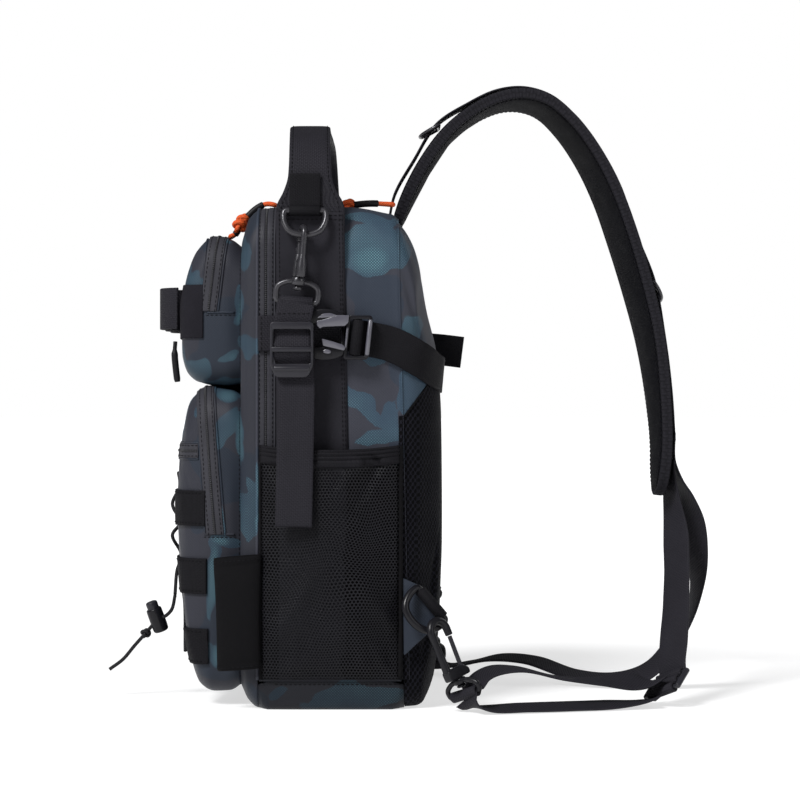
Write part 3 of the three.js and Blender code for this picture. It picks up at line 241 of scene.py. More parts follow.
def slab(rim, depth, holes=(), place=(0, 0, 0)):
    """A flat plate in XZ from y = 0 to y = -depth, with holes through it, then set at a place."""
    work = bmesh.new()
    edges = []
    for line in [rim, *holes]:
        corners = [work.verts.new((x, 0, z)) for x, z in line]
        edges += [work.edges.new((a, b)) for a, b in zip(corners, corners[1:] + corners[:1])]
    bmesh.ops.triangle_fill(work, use_beauty=True, edges=edges)
    bmesh.ops.dissolve_limit(work, angle_limit=0.01, verts=work.verts[:], edges=work.edges[:])
    grown = bmesh.ops.extrude_face_region(work, geom=work.faces[:])
    for item in grown["geom"]:
        if isinstance(item, bmesh.types.BMVert):
            item.co.y -= depth
    bmesh.ops.recalc_face_normals(work, faces=work.faces[:])
    work.verts.index_update()
    points = np.array([v.co for v in work.verts])
    faces = [tuple(v.index for v in face.verts) for face in work.faces]
    work.free()
    maps = [tuple((points[i][0], points[i][2]) for i in face) for face in faces]
    return Shape(points + np.asarray(place, float), faces, maps)


def box_shape(low, high):
    """A plain block between two corners, to be softened."""
    (x0, y0, z0), (x1, y1, z1) = low, high
    ring = [(x0, z0), (x1, z0), (x1, z1), (x0, z1)]
    return loft([[(x, y0, z) for x, z in ring], [(x, y1, z) for x, z in ring]])


def placed(shape, matrix):
    """A shape carried by a 4x4 matrix whose place is in mm."""
    matrix = np.array(matrix)
    return shape._replace(points=np.asarray(shape.points) @ matrix[:3, :3].T + matrix[:3, 3])


def rounded(corners, radius):
    """A closed polygon of (x, z) corners with each corner rounded."""
    corners = np.asarray(corners, float)
    out = []
    for before, corner, after in zip(np.roll(corners, 1, 0), corners, np.roll(corners, -1, 0)):
        reach = min(radius, *(0.45 * np.linalg.norm(other - corner) for other in (before, after)))
        start, end = (corner + unit(other - corner) * reach for other in (before, after))
        for t in np.linspace(0, 1, 5):
            out.append(tuple((1 - t) ** 2 * start + 2 * t * (1 - t) * corner + t ** 2 * end))
    return out


def strap_frames(line, across):
    """Width and thickness directions along a strap."""
    along = tangents(line)
    across = unit(across - along * (across * along).sum(1, keepdims=True))
    return across, np.cross(along, across)


def strap(rows, width=25.0, step=2.0, wave=0.25, seed=0.0, thick=None):
    """Webbing along rows of (x, y, z, across x, y, z), with soft edges and a slight waviness."""
    thick = thick or bpy.context.scene.bag_sizes.webbing / MM
    path = smooth_path(rows, step)
    across, out = strap_frames(path[:, :3], path[:, 3:6])
    sag = [wave * noise.noise(Vector((i * step / 26, seed, 0.5))) for i in range(len(path))]
    line = path[:, :3] + out * np.array(sag)[:, None]
    half, flat = width / 2, thick / 2
    section = [(-half, 0), (-half + 0.25, -flat * 0.8), (-half + 0.9, -flat), (-half / 2, -flat), (0, -flat)]
    section += [(half / 2, -flat), (half - 0.9, -flat), (half - 0.25, -flat * 0.8)]
    section += [(-w, -t) for w, t in section]
    shape = loft([[p + a * w + o * t for w, t in section] for p, a, o in zip(line, across, out)])
    marks = [(w, i * step) for i in range(len(line)) for w, t in section]
    return shape._replace(maps=[tuple(marks[i] for i in face) for face in shape.faces])


def monotone(xs, ys, x):
    """A curve through rising xs that doesn't swing past its points."""
    xs, ys = np.asarray(xs, float), np.asarray(ys, float)
    slope = np.diff(ys) / np.diff(xs)
    left, right = slope[:-1], slope[1:]
    inside = np.where(left * right > 0, 2 * left * right / np.where(left + right == 0, 1, left + right), 0)
    ends = np.concatenate([[slope[0]], inside, [slope[-1]]])
    i = int(np.clip(np.searchsorted(xs, x) - 1, 0, len(xs) - 2))
    gap = xs[i + 1] - xs[i]
    t = (x - xs[i]) / gap
    return ((2 * t**3 - 3 * t**2 + 1) * ys[i] + (t**3 - 2 * t**2 + t) * gap * ends[i]
            + (3 * t**2 - 2 * t**3) * ys[i + 1] + (t**3 - t**2) * gap * ends[i + 1])


def section_at(table, x):
    """The section of a table at any x, on smooth curves through its rows."""
    rows = sorted(table, key=lambda row: row.x)
    xs = [row.x for row in rows]
    return Section(x, *[monotone(xs, [row[k] for row in rows], x) for k in range(1, 8)])


def outline(section, offset=0.0):
    """Close points round one section: up the near side, over the top, down the far side and back under.

    Also gives where the far side ends and the foot begins."""
    half, low, high = section.half + offset, section.low - offset, section.high + offset
    top, foot = max(section.top_radius + offset, 1), max(section.foot_radius + offset, 1)
    t = np.linspace(0, 1, 80, endpoint=False)
    q = np.linspace(0, np.pi / 2, 20, endpoint=False)
    swell = half + section.bulge * np.sin(np.pi * t)
    rise = low + foot + (high - top - low - foot) * t
    level, under = half - top, half - foot
    parts = [
        (-swell, rise),
        (-level - top * np.cos(q), high - top + top * np.sin(q)),
        (-level + 2 * level * t, np.full_like(t, high)),
        (level + top * np.sin(q), high - top + top * np.cos(q)),
        (swell, high - top + low + foot - rise),
        (under + foot * np.cos(q), low + foot - foot * np.sin(q)),
        (under - 2 * under * t, np.full_like(t, low)),
        (-under - foot * np.sin(q), low + foot - foot * np.cos(q)),
    ]
    y = np.concatenate([part[0] for part in parts])
    z = np.concatenate([part[1] for part in parts])
    x = section.x + section.lean * (1 - z / BODY_HEIGHT)
    return np.stack([x, y, z], 1), sum(len(part[0]) for part in parts[:5])


def loop_round(table, x, count):
    """A closed ring of count points round a table's section."""
    return resample(outline(section_at(table, x))[0], count, closed=True)


def hoop(table, x, foot, count, offset=0.0):
    """An open line round a table's section, from the near side at height foot over to the far side."""
    points, end = outline(section_at(table, x), offset)
    kept = points[:end][points[:end, 2] >= foot]
    first, last = kept[0].copy(), kept[-1].copy()
    first[2] = last[2] = foot
    return resample(np.vstack([first[None], kept, last[None]]), count)


def cradle(section, top, count):
    """An open line from the far side at height top under the bag to the near side."""
    points, end = outline(section)
    low = points[:end][points[:end, 2] <= top]
    far, near = low[low[:, 1] > 0], low[low[:, 1] < 0]
    return resample(np.vstack([far, points[end:], near]), count)


def side_y(x, z, offset):
    """How far the body's side stands from the middle at a place, outwards by offset."""
    section = section_at(BODY, x)
    low, high = section.low + section.foot_radius, section.high - section.top_radius
    share = min(max((z - low) / (high - low), 0), 1)
    return section.half + section.bulge * math.sin(math.pi * share) + offset


# Pieces


def add_object(name, data):
    """A new object in the scene."""
    added = bpy.data.objects.new(name, data)
    bpy.context.scene.collection.objects.link(added)
    return added


def opened(mesh):
    """A mesh opened for cutting and sewing."""
    work = bmesh.new()
    work.from_mesh(mesh)
    return work


def close_up(work, mesh):
    """Writes what was opened back to a mesh."""
    work.to_mesh(mesh)
    work.free()


def make(name, shapes, finish, closed=True):
    """A mesh object from shapes in mm, at the origin, with smooth faces and its cloth map."""
    shapes = shapes if isinstance(shapes, list) else [shapes]
    points, faces = [], []
    for shape in shapes:
        start = len(points)
        points += (np.asarray(shape.points, float) * MM).tolist()
        faces += [tuple(start + i for i in face) for face in shape.faces]
    maps = [pair for shape in shapes for face in shape.maps for pair in face]
    mesh = bpy.data.meshes.new(name)
    mesh.from_pydata(points, [], faces)
    mesh.uv_layers.new(name=CLOTH_MAP).data.foreach_set("uv", np.asarray(maps, np.float32).ravel())
    if closed:
        work = opened(mesh)
        bmesh.ops.recalc_face_normals(work, faces=work.faces[:])
        close_up(work, mesh)
    mesh.shade_smooth()
    mesh.materials.append(bpy.data.materials[finish])
    return add_object(name, mesh)


def carry(piece, node=None, body="bag"):
    """Puts a finished piece on its body, in place of its CAD node."""
    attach(piece, body)
    if node:
        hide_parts(node)
    return piece


def sewn(name, shapes, finish, node=None):
    """A piece of webbing, tape or elastic."""
    return carry(make(name, shapes, finish), node)


def soften(piece, width, segments=3):
    """Rounds the hard edges of a moulded piece."""
    bevel = piece.modifiers.new("Soft edges", "BEVEL")
    bevel.width = width * MM
    bevel.segments = segments
    bevel.limit_method = "ANGLE"
    bevel.angle_limit = math.radians(35)
    return piece


def thicken(piece, thick, outwards=-1.0):
    """Gives a sheet its thickness."""
    wall = piece.modifiers.new("Thickness", "SOLIDIFY")
    wall.thickness = thick * MM
    wall.offset = outwards
    return piece


def settle(piece):
    """Turns a piece and its modifiers into a plain mesh."""
    graph = bpy.context.evaluated_depsgraph_get()
    final = piece.evaluated_get(graph)
    mesh = bpy.data.meshes.new_from_object(final, preserve_all_data_layers=True, depsgraph=graph)
    old = piece.data
    piece.modifiers.clear()
    piece.data = mesh
    bpy.data.meshes.remove(old)
    return piece


def subdivided(piece):
    """Smooths a piece by subdivision and keeps the result as its mesh."""
    step = piece.modifiers.new("Smooth", "SUBSURF")
    step.levels = step.render_levels = 1
    return settle(piece)


def read(items, label, columns, kind=float):
    """One value of every item of a mesh, as rows of an array."""
    found = np.zeros(len(items) * columns, kind)
    items.foreach_get(label, found)
    return found.reshape(-1, columns)


def places(piece):
    """A piece's points in mm."""
    return read(piece.data.vertices, "co", 3) / MM


def move_to(piece, points):
    """Gives a piece's points new places in mm."""
    piece.data.vertices.foreach_set("co", (np.asarray(points) * MM).astype(np.float32).ravel())
    piece.data.update()


SWELL_FRAMES = 20


def inflate(piece, held, pressure, cap):
    """Lets a piece's cloth swell in a short simulation. Held points stay, and none moves more than cap."""
    start = places(piece)
    group = piece.vertex_groups.new(name="held")
    group.add([int(i) for i in held], 1.0, "REPLACE")
    cloth = piece.modifiers.new("Cloth", "CLOTH")
    rule = cloth.settings
    rule.quality = 6
    rule.mass = 0.2
    rule.tension_stiffness = rule.compression_stiffness = 20
    rule.shear_stiffness = 8
    rule.bending_stiffness = 0.4
    rule.air_damping = 3
    rule.vertex_group_mass = "held"
    rule.use_pressure = True
    rule.uniform_pressure_force = pressure
    rule.effector_weights.gravity = 0
    cloth.point_cache.frame_end = SWELL_FRAMES + 1
    scene = bpy.context.scene
    for number in range(1, SWELL_FRAMES + 1):
        scene.frame_set(number)
    step = places(piece.evaluated_get(bpy.context.evaluated_depsgraph_get())) - start
    long = np.linalg.norm(step, axis=1, keepdims=True)
    piece.modifiers.clear()
    piece.vertex_groups.clear()
    move_to(piece, start + step * np.minimum(1, cap / np.maximum(long, 1e-9)))
    scene.frame_set(1)


def patch(source, name, finish, cuts, lift=0.0, thick=0.0):
    """A layer over part of another piece: cuts are (place, direction to cut away), lift is its height."""
    work = opened(source.data)
    for place, away in cuts:
        spot, way = Vector(place) * MM, Vector(away).normalized()
        outside = {vert for vert in work.verts if (vert.co - spot).dot(way) > 0}
        gone = [face for face in work.faces if all(vert in outside for vert in face.verts)]
        bmesh.ops.delete(work, geom=gone, context="FACES")
        crossing = [face for face in work.faces if any(vert in outside for vert in face.verts)]
        edges = list({edge for face in crossing for edge in face.edges})
        corners = list({vert for face in crossing for vert in face.verts})
        bmesh.ops.bisect_plane(work, geom=crossing + edges + corners, plane_co=spot, plane_no=way,
                               clear_outer=True, dist=1e-7)
    work.normal_update()
    for vert in work.verts:
        vert.co += vert.normal * lift * MM
    mesh = bpy.data.meshes.new(name)
    close_up(work, mesh)
    mesh.materials.clear()
    mesh.materials.append(bpy.data.materials[finish])
    mesh.shade_smooth()
    piece = add_object(name, mesh)
    return thicken(piece, thick, 1.0) if thick else piece


# How x, y and z go to the two columns of a map: as seen from the side, turned, and round a pocket
SIDE_MAP = ((1, 0), (0, 0), (0, 1))
TURNED_MAP = ((0, 1), (0, 0), (1, 0))
ROUND_MAP = ((0, 1), (0, 1), (1, 0))


def face_corners(piece):
    """The point at each corner of a piece's faces, in mm."""
    return places(piece)[read(piece.data.loops, "vertex_index", 1, int)[:, 0]]


def draw_map(piece, pairs):
    """Gives each corner of a piece's faces its place on the cloth."""
    layer = piece.data.uv_layers.get(CLOTH_MAP) or piece.data.uv_layers.new(name=CLOTH_MAP)
    layer.data.foreach_set("uv", np.asarray(pairs, np.float32).ravel())
    return piece


def set_map(piece, columns):
    """Draws a piece's cloth map straight from its points."""
    return draw_map(piece, face_corners(piece) @ np.array(columns, float))


def box_map(piece):
    """Draws the cloth map in mm straight on to each face, from the side that it looks to."""
    faces = piece.data.polygons
    sizes = read(faces, "loop_total", 1, int)[:, 0]
    look = np.abs(read(faces, "normal", 3)).argmax(1).repeat(sizes)
    points = face_corners(piece)
    first = np.where(look == 0, points[:, 1], points[:, 0])
    second = np.where(look == 2, points[:, 1], points[:, 2])
    return draw_map(piece, np.stack([first, second], 1))


# Rows of small like items

stitch_rows = []


def stitch(line, facing, closed=False):
    """Notes a row of stitches along a line; facing is the way the surface looks, one or one each."""
    sizes = bpy.context.scene.bag_sizes
    path = resample(np.asarray(line, float)[:, :3], step=sizes.stitch_pitch / MM, closed=closed)
    facing = np.asarray(facing, float)
    if facing.ndim == 2:
        share = np.linspace(0, 1, len(facing))
        facing = np.stack([np.interp(np.linspace(0, 1, len(path)), share, c) for c in facing.T], 1)
    stitch_rows.append((path, tangents(path, closed), np.broadcast_to(facing, path.shape)))


def feed(tree, socket, value):
    """Gives a socket its value, or the socket that feeds it."""
    if isinstance(value, bpy.types.NodeSocket):
        tree.links.new(value, socket)
    else:
        socket.default_value = value


def link(tree, kind, inputs=None, **settings):
    """Adds a node: settings are its own values, inputs are values or the sockets that feed it."""
    added = tree.nodes.new(kind)
    for key, value in settings.items():
        setattr(added, key, value)
    for key, value in (inputs or {}).items():
        feed(tree, added.inputs[key], value)
    return added


GEOMETRY = "NodeSocketGeometry"
NUMBER = "NodeSocketFloat"


def new_tree(name, kind, inputs, outputs):
    """An empty node group with named sockets."""
    tree = bpy.data.node_groups.new(name, kind)
    for in_out, sockets in (("INPUT", inputs), ("OUTPUT", outputs)):
        for label, socket in sockets:
            tree.interface.new_socket(name=label, in_out=in_out, socket_type=socket)
    return tree, tree.nodes.new("NodeGroupInput"), tree.nodes.new("NodeGroupOutput")


def dress(tree, end, geometry, finish):
    """Gives a tree's result its material."""
    dressed = link(tree, "GeometryNodeSetMaterial", {
        "Geometry": geometry.outputs[0], "Material": bpy.data.materials[finish]})
    tree.links.new(dressed.outputs[0], end.inputs[0])
    return tree


BEAD_SIZES = ("Long", "Wide", "High")


def bead_tree(name, finish):
    """A tree that sets one bead on each point, turned by the point's run and face directions."""
    inputs = [("Points", GEOMETRY)] + [(label, NUMBER) for label in BEAD_SIZES]
    tree, start, end = new_tree(name, "GeometryNodeTree", inputs, [("Items", GEOMETRY)])
    turn = None
    for label, settings in (("run", {"axis": "X"}), ("face", {"axis": "Z", "pivot_axis": "X"})):
        way = link(tree, "GeometryNodeInputNamedAttribute", {"Name": label}, data_type="FLOAT_VECTOR")
        before = {"Rotation": turn.outputs[0]} if turn else {}
        turn = link(tree, "FunctionNodeAlignRotationToVector",
                    {"Vector": way.outputs["Attribute"], **before}, **settings)
    body = link(tree, "GeometryNodeMeshUVSphere", {"Segments": 6, "Rings": 4, "Radius": 0.5})
    scale = link(tree, "ShaderNodeCombineXYZ", {k: start.outputs[k + 1] for k in range(3)})
    set_on = link(tree, "GeometryNodeInstanceOnPoints", {
        "Points": start.outputs["Points"], "Instance": body.outputs["Mesh"],
        "Rotation": turn.outputs[0], "Scale": scale.outputs[0]})
    real = link(tree, "GeometryNodeRealizeInstances", {"Geometry": set_on.outputs[0]})
    smooth = link(tree, "GeometryNodeSetShadeSmooth", {"Geometry": real.outputs[0]})
    return dress(tree, end, smooth, finish)


def run_tree(piece, tree, values):
    """Runs a geometry tree on a piece and keeps the result as its mesh."""
    step = piece.modifiers.new(tree.name, "NODES")
    step.node_group = tree
    known = {item.name: item.identifier for item in tree.interface.items_tree if item.in_out == "INPUT"}
    for label, value in values.items():
        step[known[label]] = value
    return settle(piece)


def beads_on(name, rows, finish, sizes):
    """Sets beads of a length, width and height along rows of (points, runs, faces)."""
    points, runs, faces = (np.concatenate([row[k] for row in rows]) for k in range(3))
    mesh = bpy.data.meshes.new(name)
    mesh.from_pydata((points * MM).tolist(), [], [])
    for label, vectors in (("run", runs), ("face", faces)):
        attribute = mesh.attributes.new(label, "FLOAT_VECTOR", "POINT")
        attribute.data.foreach_set("vector", np.asarray(vectors, np.float32).ravel())
    group = finish + " beads"
    tree = bpy.data.node_groups.get(group) or bead_tree(group, finish)
    return run_tree(add_object(name, mesh), tree, dict(zip(BEAD_SIZES, sizes)))


# Sizes and colours


def length_value(label, about, value):
    """A length that a maker may change."""
    return bpy.props.FloatProperty(name=label, description=about, default=value, unit="LENGTH", precision=5)


def colour_value(label, about, value):
    """A colour that a maker may change."""
    return bpy.props.FloatVectorProperty(name=label, description=about, default=value, subtype="COLOR",
                                         size=3, min=0.0, max=1.0)


class BagSizes(bpy.types.PropertyGroup):
    """Sizes of the trim"""

    webbing: length_value("Webbing", "Thickness of all webbing", 0.0016)
    stitch_pitch: length_value("Stitch pitch", "Distance from stitch to stitch", 0.0033)
    stitch_long: length_value("Stitch length", "Length of one stitch", 0.0024)
    thread: length_value("Thread", "Thickness of the sewing thread", 0.0007)
    tooth_pitch: length_value("Zip pitch", "Distance from tooth to tooth of the zips", 0.0014)
    net_pitch: length_value("Net pitch", "Distance from hole to hole of the side nets", 0.0026)
    net_hole: bpy.props.FloatProperty(name="Net hole", description="Share of a net cell that is open",
                                      default=0.675, min=0.1, max=0.95, subtype="FACTOR")
    cord: length_value("Cord", "Thickness of the elastic cord", 0.0026)


class BagColours(bpy.types.PropertyGroup):
    """Colours of the cloth and hardware"""

    slate: colour_value("Slate", "Ground of the camouflage cloth", (0.027, 0.034, 0.049))
    plum: colour_value("Plum", "Dark patches of the camouflage cloth", (0.035, 0.0365, 0.048))
    teal: colour_value("Teal", "Blue patches of the camouflage cloth", (0.030, 0.048, 0.074))
    # The raised threads' colour where they catch the light: a painted highlight
    bright: colour_value("Bright thread", "Raised threads in the blue patches", (0.13, 0.29, 0.32))
    webbing: colour_value("Webbing", "Straps", (0.0118, 0.0112, 0.0145))
    band: colour_value("Band", "Side bands and trim", (0.0172, 0.0165, 0.021))
    tape: colour_value("Zip tape", "Coated zip tape", (0.035, 0.0348, 0.042))
    net: colour_value("Net", "Side nets and air mesh", (0.0036, 0.0036, 0.0052))
    orange: colour_value("Orange", "Cords of the zip pulls", (0.80, 0.11, 0.018))
    plastic: colour_value("Plastic", "Moulded hardware", (0.0068, 0.0066, 0.0085))
    metal: colour_value("Metal", "Dark coated metal", (0.06, 0.058, 0.068))


# Finishes

SHINE = "Specular IOR Level"


def calc(tree, operation, *values):
    """A math node's result."""
    return link(tree, "ShaderNodeMath", dict(enumerate(values)), operation=operation).outputs[0]


def blend_colours(tree, share, first, second):
    """A colour between two; each is a colour or a socket."""
    mixed = link(tree, "ShaderNodeMix", {"Factor": share}, data_type="RGBA")
    ends = [socket for socket in mixed.inputs if socket.type == "RGBA"]
    for socket, value in zip(ends, (first, second)):
        feed(tree, socket, value)
    return [socket for socket in mixed.outputs if socket.type == "RGBA"][0]


def full(colour, scale=1.0):
    """A colour with its alpha, made lighter or darker."""
    return (*[min(channel * scale, 1.0) for channel in colour], 1.0)


def shades(tree, share, colour, dark, light):
    """A colour that goes from darker to lighter."""
    return blend_colours(tree, share, full(colour, dark), full(colour, light))


def spread(tree, value, low, high):
    """A 0 to 1 value as one from low to high."""
    return link(tree, "ShaderNodeMapRange", {"Value": value, "To Min": low, "To Max": high}).outputs[0]


def shared_effect(name, inputs, *outputs):
    """An empty effect that finishes share; its sockets are numbers, apart from a map."""
    kinds = [(label, "NodeSocketVector" if label == "Map" else NUMBER) for label in inputs]
    return new_tree(name, "ShaderNodeTree", kinds, [(label, NUMBER) for label in outputs])


def map_columns(tree, start):
    """The two columns of the map that comes into an effect."""
    return link(tree, "ShaderNodeSeparateXYZ", {0: start.outputs["Map"]}).outputs[:2]


def humps(tree, value, turn):
    """A row of round humps along a value."""
    return calc(tree, "ABSOLUTE", calc(tree, "SINE", calc(tree, "MULTIPLY", value, turn)))


def weave_group():
    """Threads that pass over and under each other, as the height of the cloth."""
    tree, start, end = shared_effect("Plain weave", ("Map", "Across", "Along"), "Height")
    u, v = (calc(tree, "DIVIDE", column, start.outputs[label])
            for column, label in zip(map_columns(tree, start), ("Across", "Along")))
    parity = calc(tree, "ADD", calc(tree, "FLOOR", u), calc(tree, "FLOOR", v))
    over = calc(tree, "MODULO", calc(tree, "ABSOLUTE", parity), 2.0)
    under = calc(tree, "SUBTRACT", 1.0, over)
    warp = calc(tree, "MULTIPLY", humps(tree, u, math.pi), over)
    weft = calc(tree, "MULTIPLY", humps(tree, v, math.pi), under)
    tree.links.new(calc(tree, "ADD", warp, weft), end.inputs["Height"])


def twill_group():
    """Raised threads in slanting rows, as dots."""
    tree, start, end = shared_effect("Twill dots", ("Map", "Pitch"), "Dots")
    columns = map_columns(tree, start)
    turn = calc(tree, "DIVIDE", math.pi, start.outputs["Pitch"])
    waves = [humps(tree, calc(tree, way, *columns), turn) for way in ("ADD", "SUBTRACT")]
    tree.links.new(calc(tree, "MULTIPLY", *waves), end.inputs["Dots"])


def grain_group():
    """Broad and fine unevenness of a surface, in object space."""
    tree, start, end = shared_effect("Uneven surface", ("Broad", "Fine"), "Broad", "Fine")
    place = link(tree, "ShaderNodeTexCoord")
    for label, detail in (("Broad", 3.0), ("Fine", 2.0)):
        field = link(tree, "ShaderNodeTexNoise", {
            "Vector": place.outputs["Object"], "Scale": start.outputs[label], "Detail": detail})
        tree.links.new(field.outputs[0], end.inputs[label])


def holes_group():
    """Round holes in staggered rows, as in knitted air mesh."""
    tree, start, end = shared_effect("Air mesh holes", ("Map", "Pitch"), "Hole")
    columns = map_columns(tree, start)
    pitch = start.outputs["Pitch"]
    u = calc(tree, "DIVIDE", columns[0], pitch)
    v = calc(tree, "DIVIDE", columns[1], calc(tree, "MULTIPLY", pitch, 1.5))
    found = []
    for shift in (0.0, 0.5):
        squares = []
        for value in (u, v):
            off = calc(tree, "SUBTRACT", calc(tree, "FRACT", calc(tree, "ADD", value, shift)), 0.5)
            squares.append(calc(tree, "MULTIPLY", off, off))
        found.append(calc(tree, "SQRT", calc(tree, "ADD", *squares)))
    nearest = calc(tree, "MINIMUM", *found)
    hole = link(tree, "ShaderNodeMapRange", {"Value": nearest, "From Min": 0.34, "From Max": 0.22})
    tree.links.new(hole.outputs[0], end.inputs["Hole"])


def new_finish(name, values):
    """A material with a principled shader and the constants of its sockets."""
    material = bpy.data.materials.new(name)
    material.use_nodes = True
    tree = material.node_tree
    tree.nodes.clear()
    shader = link(tree, "ShaderNodeBsdfPrincipled", values)
    link(tree, "ShaderNodeOutputMaterial", {"Surface": shader.outputs[0]})
    return tree, shader


def grouped(tree, name, **values):
    """Places a shared effect with its own values."""
    inputs = {label.title(): value for label, value in values.items()}
    return link(tree, "ShaderNodeGroup", inputs, node_tree=bpy.data.node_groups[name]).outputs


def cloth_map(tree):
    """The piece's own map, in mm."""
    return link(tree, "ShaderNodeUVMap", uv_map=CLOTH_MAP).outputs[0]


def surface(tree, shader, colour, rough, height, depth):
    """Feeds a shader its colour, its roughness and a relief of depth mm."""
    bump = link(tree, "ShaderNodeBump", {"Height": height, "Distance": depth * MM, "Strength": 1.0})
    for label, socket in (("Base Color", colour), ("Roughness", rough), ("Normal", bump.outputs[0])):
        tree.links.new(socket, shader.inputs[label])


def woven(name, colour, across, along, depth, rough, contrast):
    """Webbing, bands and tapes: threads at a real pitch, with painted highlights on the thread tops, and
    uneven wear.
    """
    tree, shader = new_finish(name, {SHINE: 0.1})
    threads = grouped(tree, "Plain weave", map=cloth_map(tree), across=across, along=along)["Height"]
    uneven = grouped(tree, "Uneven surface", broad=35.0, fine=1400.0)
    # Thread tops are painted lighter and the hollows darker, as painted highlight and shade; the broad noise
    # adds uneven wear
    light = calc(tree, "MULTIPLY_ADD", threads, contrast, calc(tree, "MULTIPLY", uneven["Broad"], 0.6))
    surface(tree, shader, shades(tree, light, colour, 0.55, 1.35),
            spread(tree, uneven["Broad"], rough - 0.12, rough + 0.1),
            calc(tree, "MULTIPLY_ADD", uneven["Fine"], 0.25, threads), depth)


def camouflage(colours):
    """Coated cloth: slate ground, plum and blue patches, painted highlights on the raised threads in the
    blue, and painted shade that darkens each piece.
    """
    tree, shader = new_finish(CAMOUFLAGE, {SHINE: 0.16})
    place = link(tree, "ShaderNodeTexCoord").outputs["Object"]
    ragged = link(tree, "ShaderNodeTexNoise", {"Vector": place, "Scale": 85.0, "Detail": 4.0}).outputs[0]
    wobble = calc(tree, "MULTIPLY_ADD", ragged, 0.26, -0.13)
    fields = {label: link(tree, "ShaderNodeAttribute", attribute_name=label).outputs["Fac"]
              for label in ("teal", "plum", "painted_brightness", "glint")}
    masks = {label: link(tree, "ShaderNodeMapRange", {
        "Value": calc(tree, "ADD", fields[label], wobble), "From Min": -0.02, "From Max": 0.02}).outputs[0]
             for label in ("teal", "plum")}
    dots = grouped(tree, "Twill dots", map=cloth_map(tree), pitch=2.0)["Dots"]
    uneven = grouped(tree, "Uneven surface", broad=22.0, fine=1100.0)
    # Patches where the raised threads are painted brighter: painted highlight
    patchy_shine = link(tree, "ShaderNodeMapRange", {
        "Value": uneven["Broad"], "From Min": 0.38, "From Max": 0.62, "To Min": 0.1, "To Max": 0.5})
    # The glints are painted highlights, and the piece's painted shade dims them too
    strong = calc(tree, "MAXIMUM", patchy_shine.outputs[0], fields["glint"])
    strong = calc(tree, "MULTIPLY", calc(tree, "MULTIPLY", strong, fields["painted_brightness"]), masks["teal"])
    ground = blend_colours(tree, masks["plum"], full(colours.slate), full(colours.plum))
    patchy = blend_colours(tree, masks["teal"], ground, full(colours.teal))
    # Painted shade: the patterned colour is darkened towards black by the piece's painted brightness
    painted_shade_colour = blend_colours(tree, fields["painted_brightness"], (0, 0, 0, 1), patchy)
    thread = calc(tree, "MULTIPLY", calc(tree, "POWER", dots, 2.0), strong)
    surface(tree, shader, blend_colours(tree, thread, painted_shade_colour, full(colours.bright)),
            spread(tree, uneven["Broad"], 0.36, 0.56),
            calc(tree, "MULTIPLY_ADD", uneven["Fine"], 0.4, dots), 0.09)


def air_mesh(name, colour, pitch):
    """Spacer fabric with staggered holes, painted dark inside as painted shade."""
    tree, shader = new_finish(name, {SHINE: 0.06})
    hole = grouped(tree, "Air mesh holes", map=cloth_map(tree), pitch=pitch)["Hole"]
    uneven = grouped(tree, "Uneven surface", broad=40.0, fine=1300.0)
    knit = shades(tree, uneven["Fine"], colour, 0.8, 1.7)
    # The holes are painted much darker than the knit: painted shade inside them
    surface(tree, shader, blend_colours(tree, hole, knit, full(colour, 0.18)),
            spread(tree, uneven["Broad"], 0.62, 0.85),
            calc(tree, "MULTIPLY_ADD", uneven["Fine"], 0.2, calc(tree, "SUBTRACT", 1.0, hole)), 0.7)


def braided(name, colour, rough):
    """A round cord's plaited cover, with painted highlights on its thread tops and painted shade between
    them.
    """
    tree, shader = new_finish(name, {SHINE: 0.3})
    threads = grouped(tree, "Twill dots", map=cloth_map(tree), pitch=1.5)["Dots"]
    uneven = grouped(tree, "Uneven surface", broad=120.0, fine=2200.0)
    surface(tree, shader, shades(tree, threads, colour, 0.5, 1.2),
            spread(tree, uneven["Broad"], rough - 0.1, rough + 0.1), threads, 0.25)


def moulded(name, colour, rough, relief, metallic, fineness, shine):
    """Plastic and coated metal: fine mould grain, uneven gloss and lighter worn spots."""
    tree, shader = new_finish(name, {"Metallic": metallic, SHINE: shine})
    uneven = grouped(tree, "Uneven surface", broad=55.0, fine=fineness)
    surface(tree, shader, shades(tree, uneven["Broad"], colour, 0.7, 1.4),
            spread(tree, uneven["Broad"], rough - 0.08, rough + 0.12), uneven["Fine"], relief)


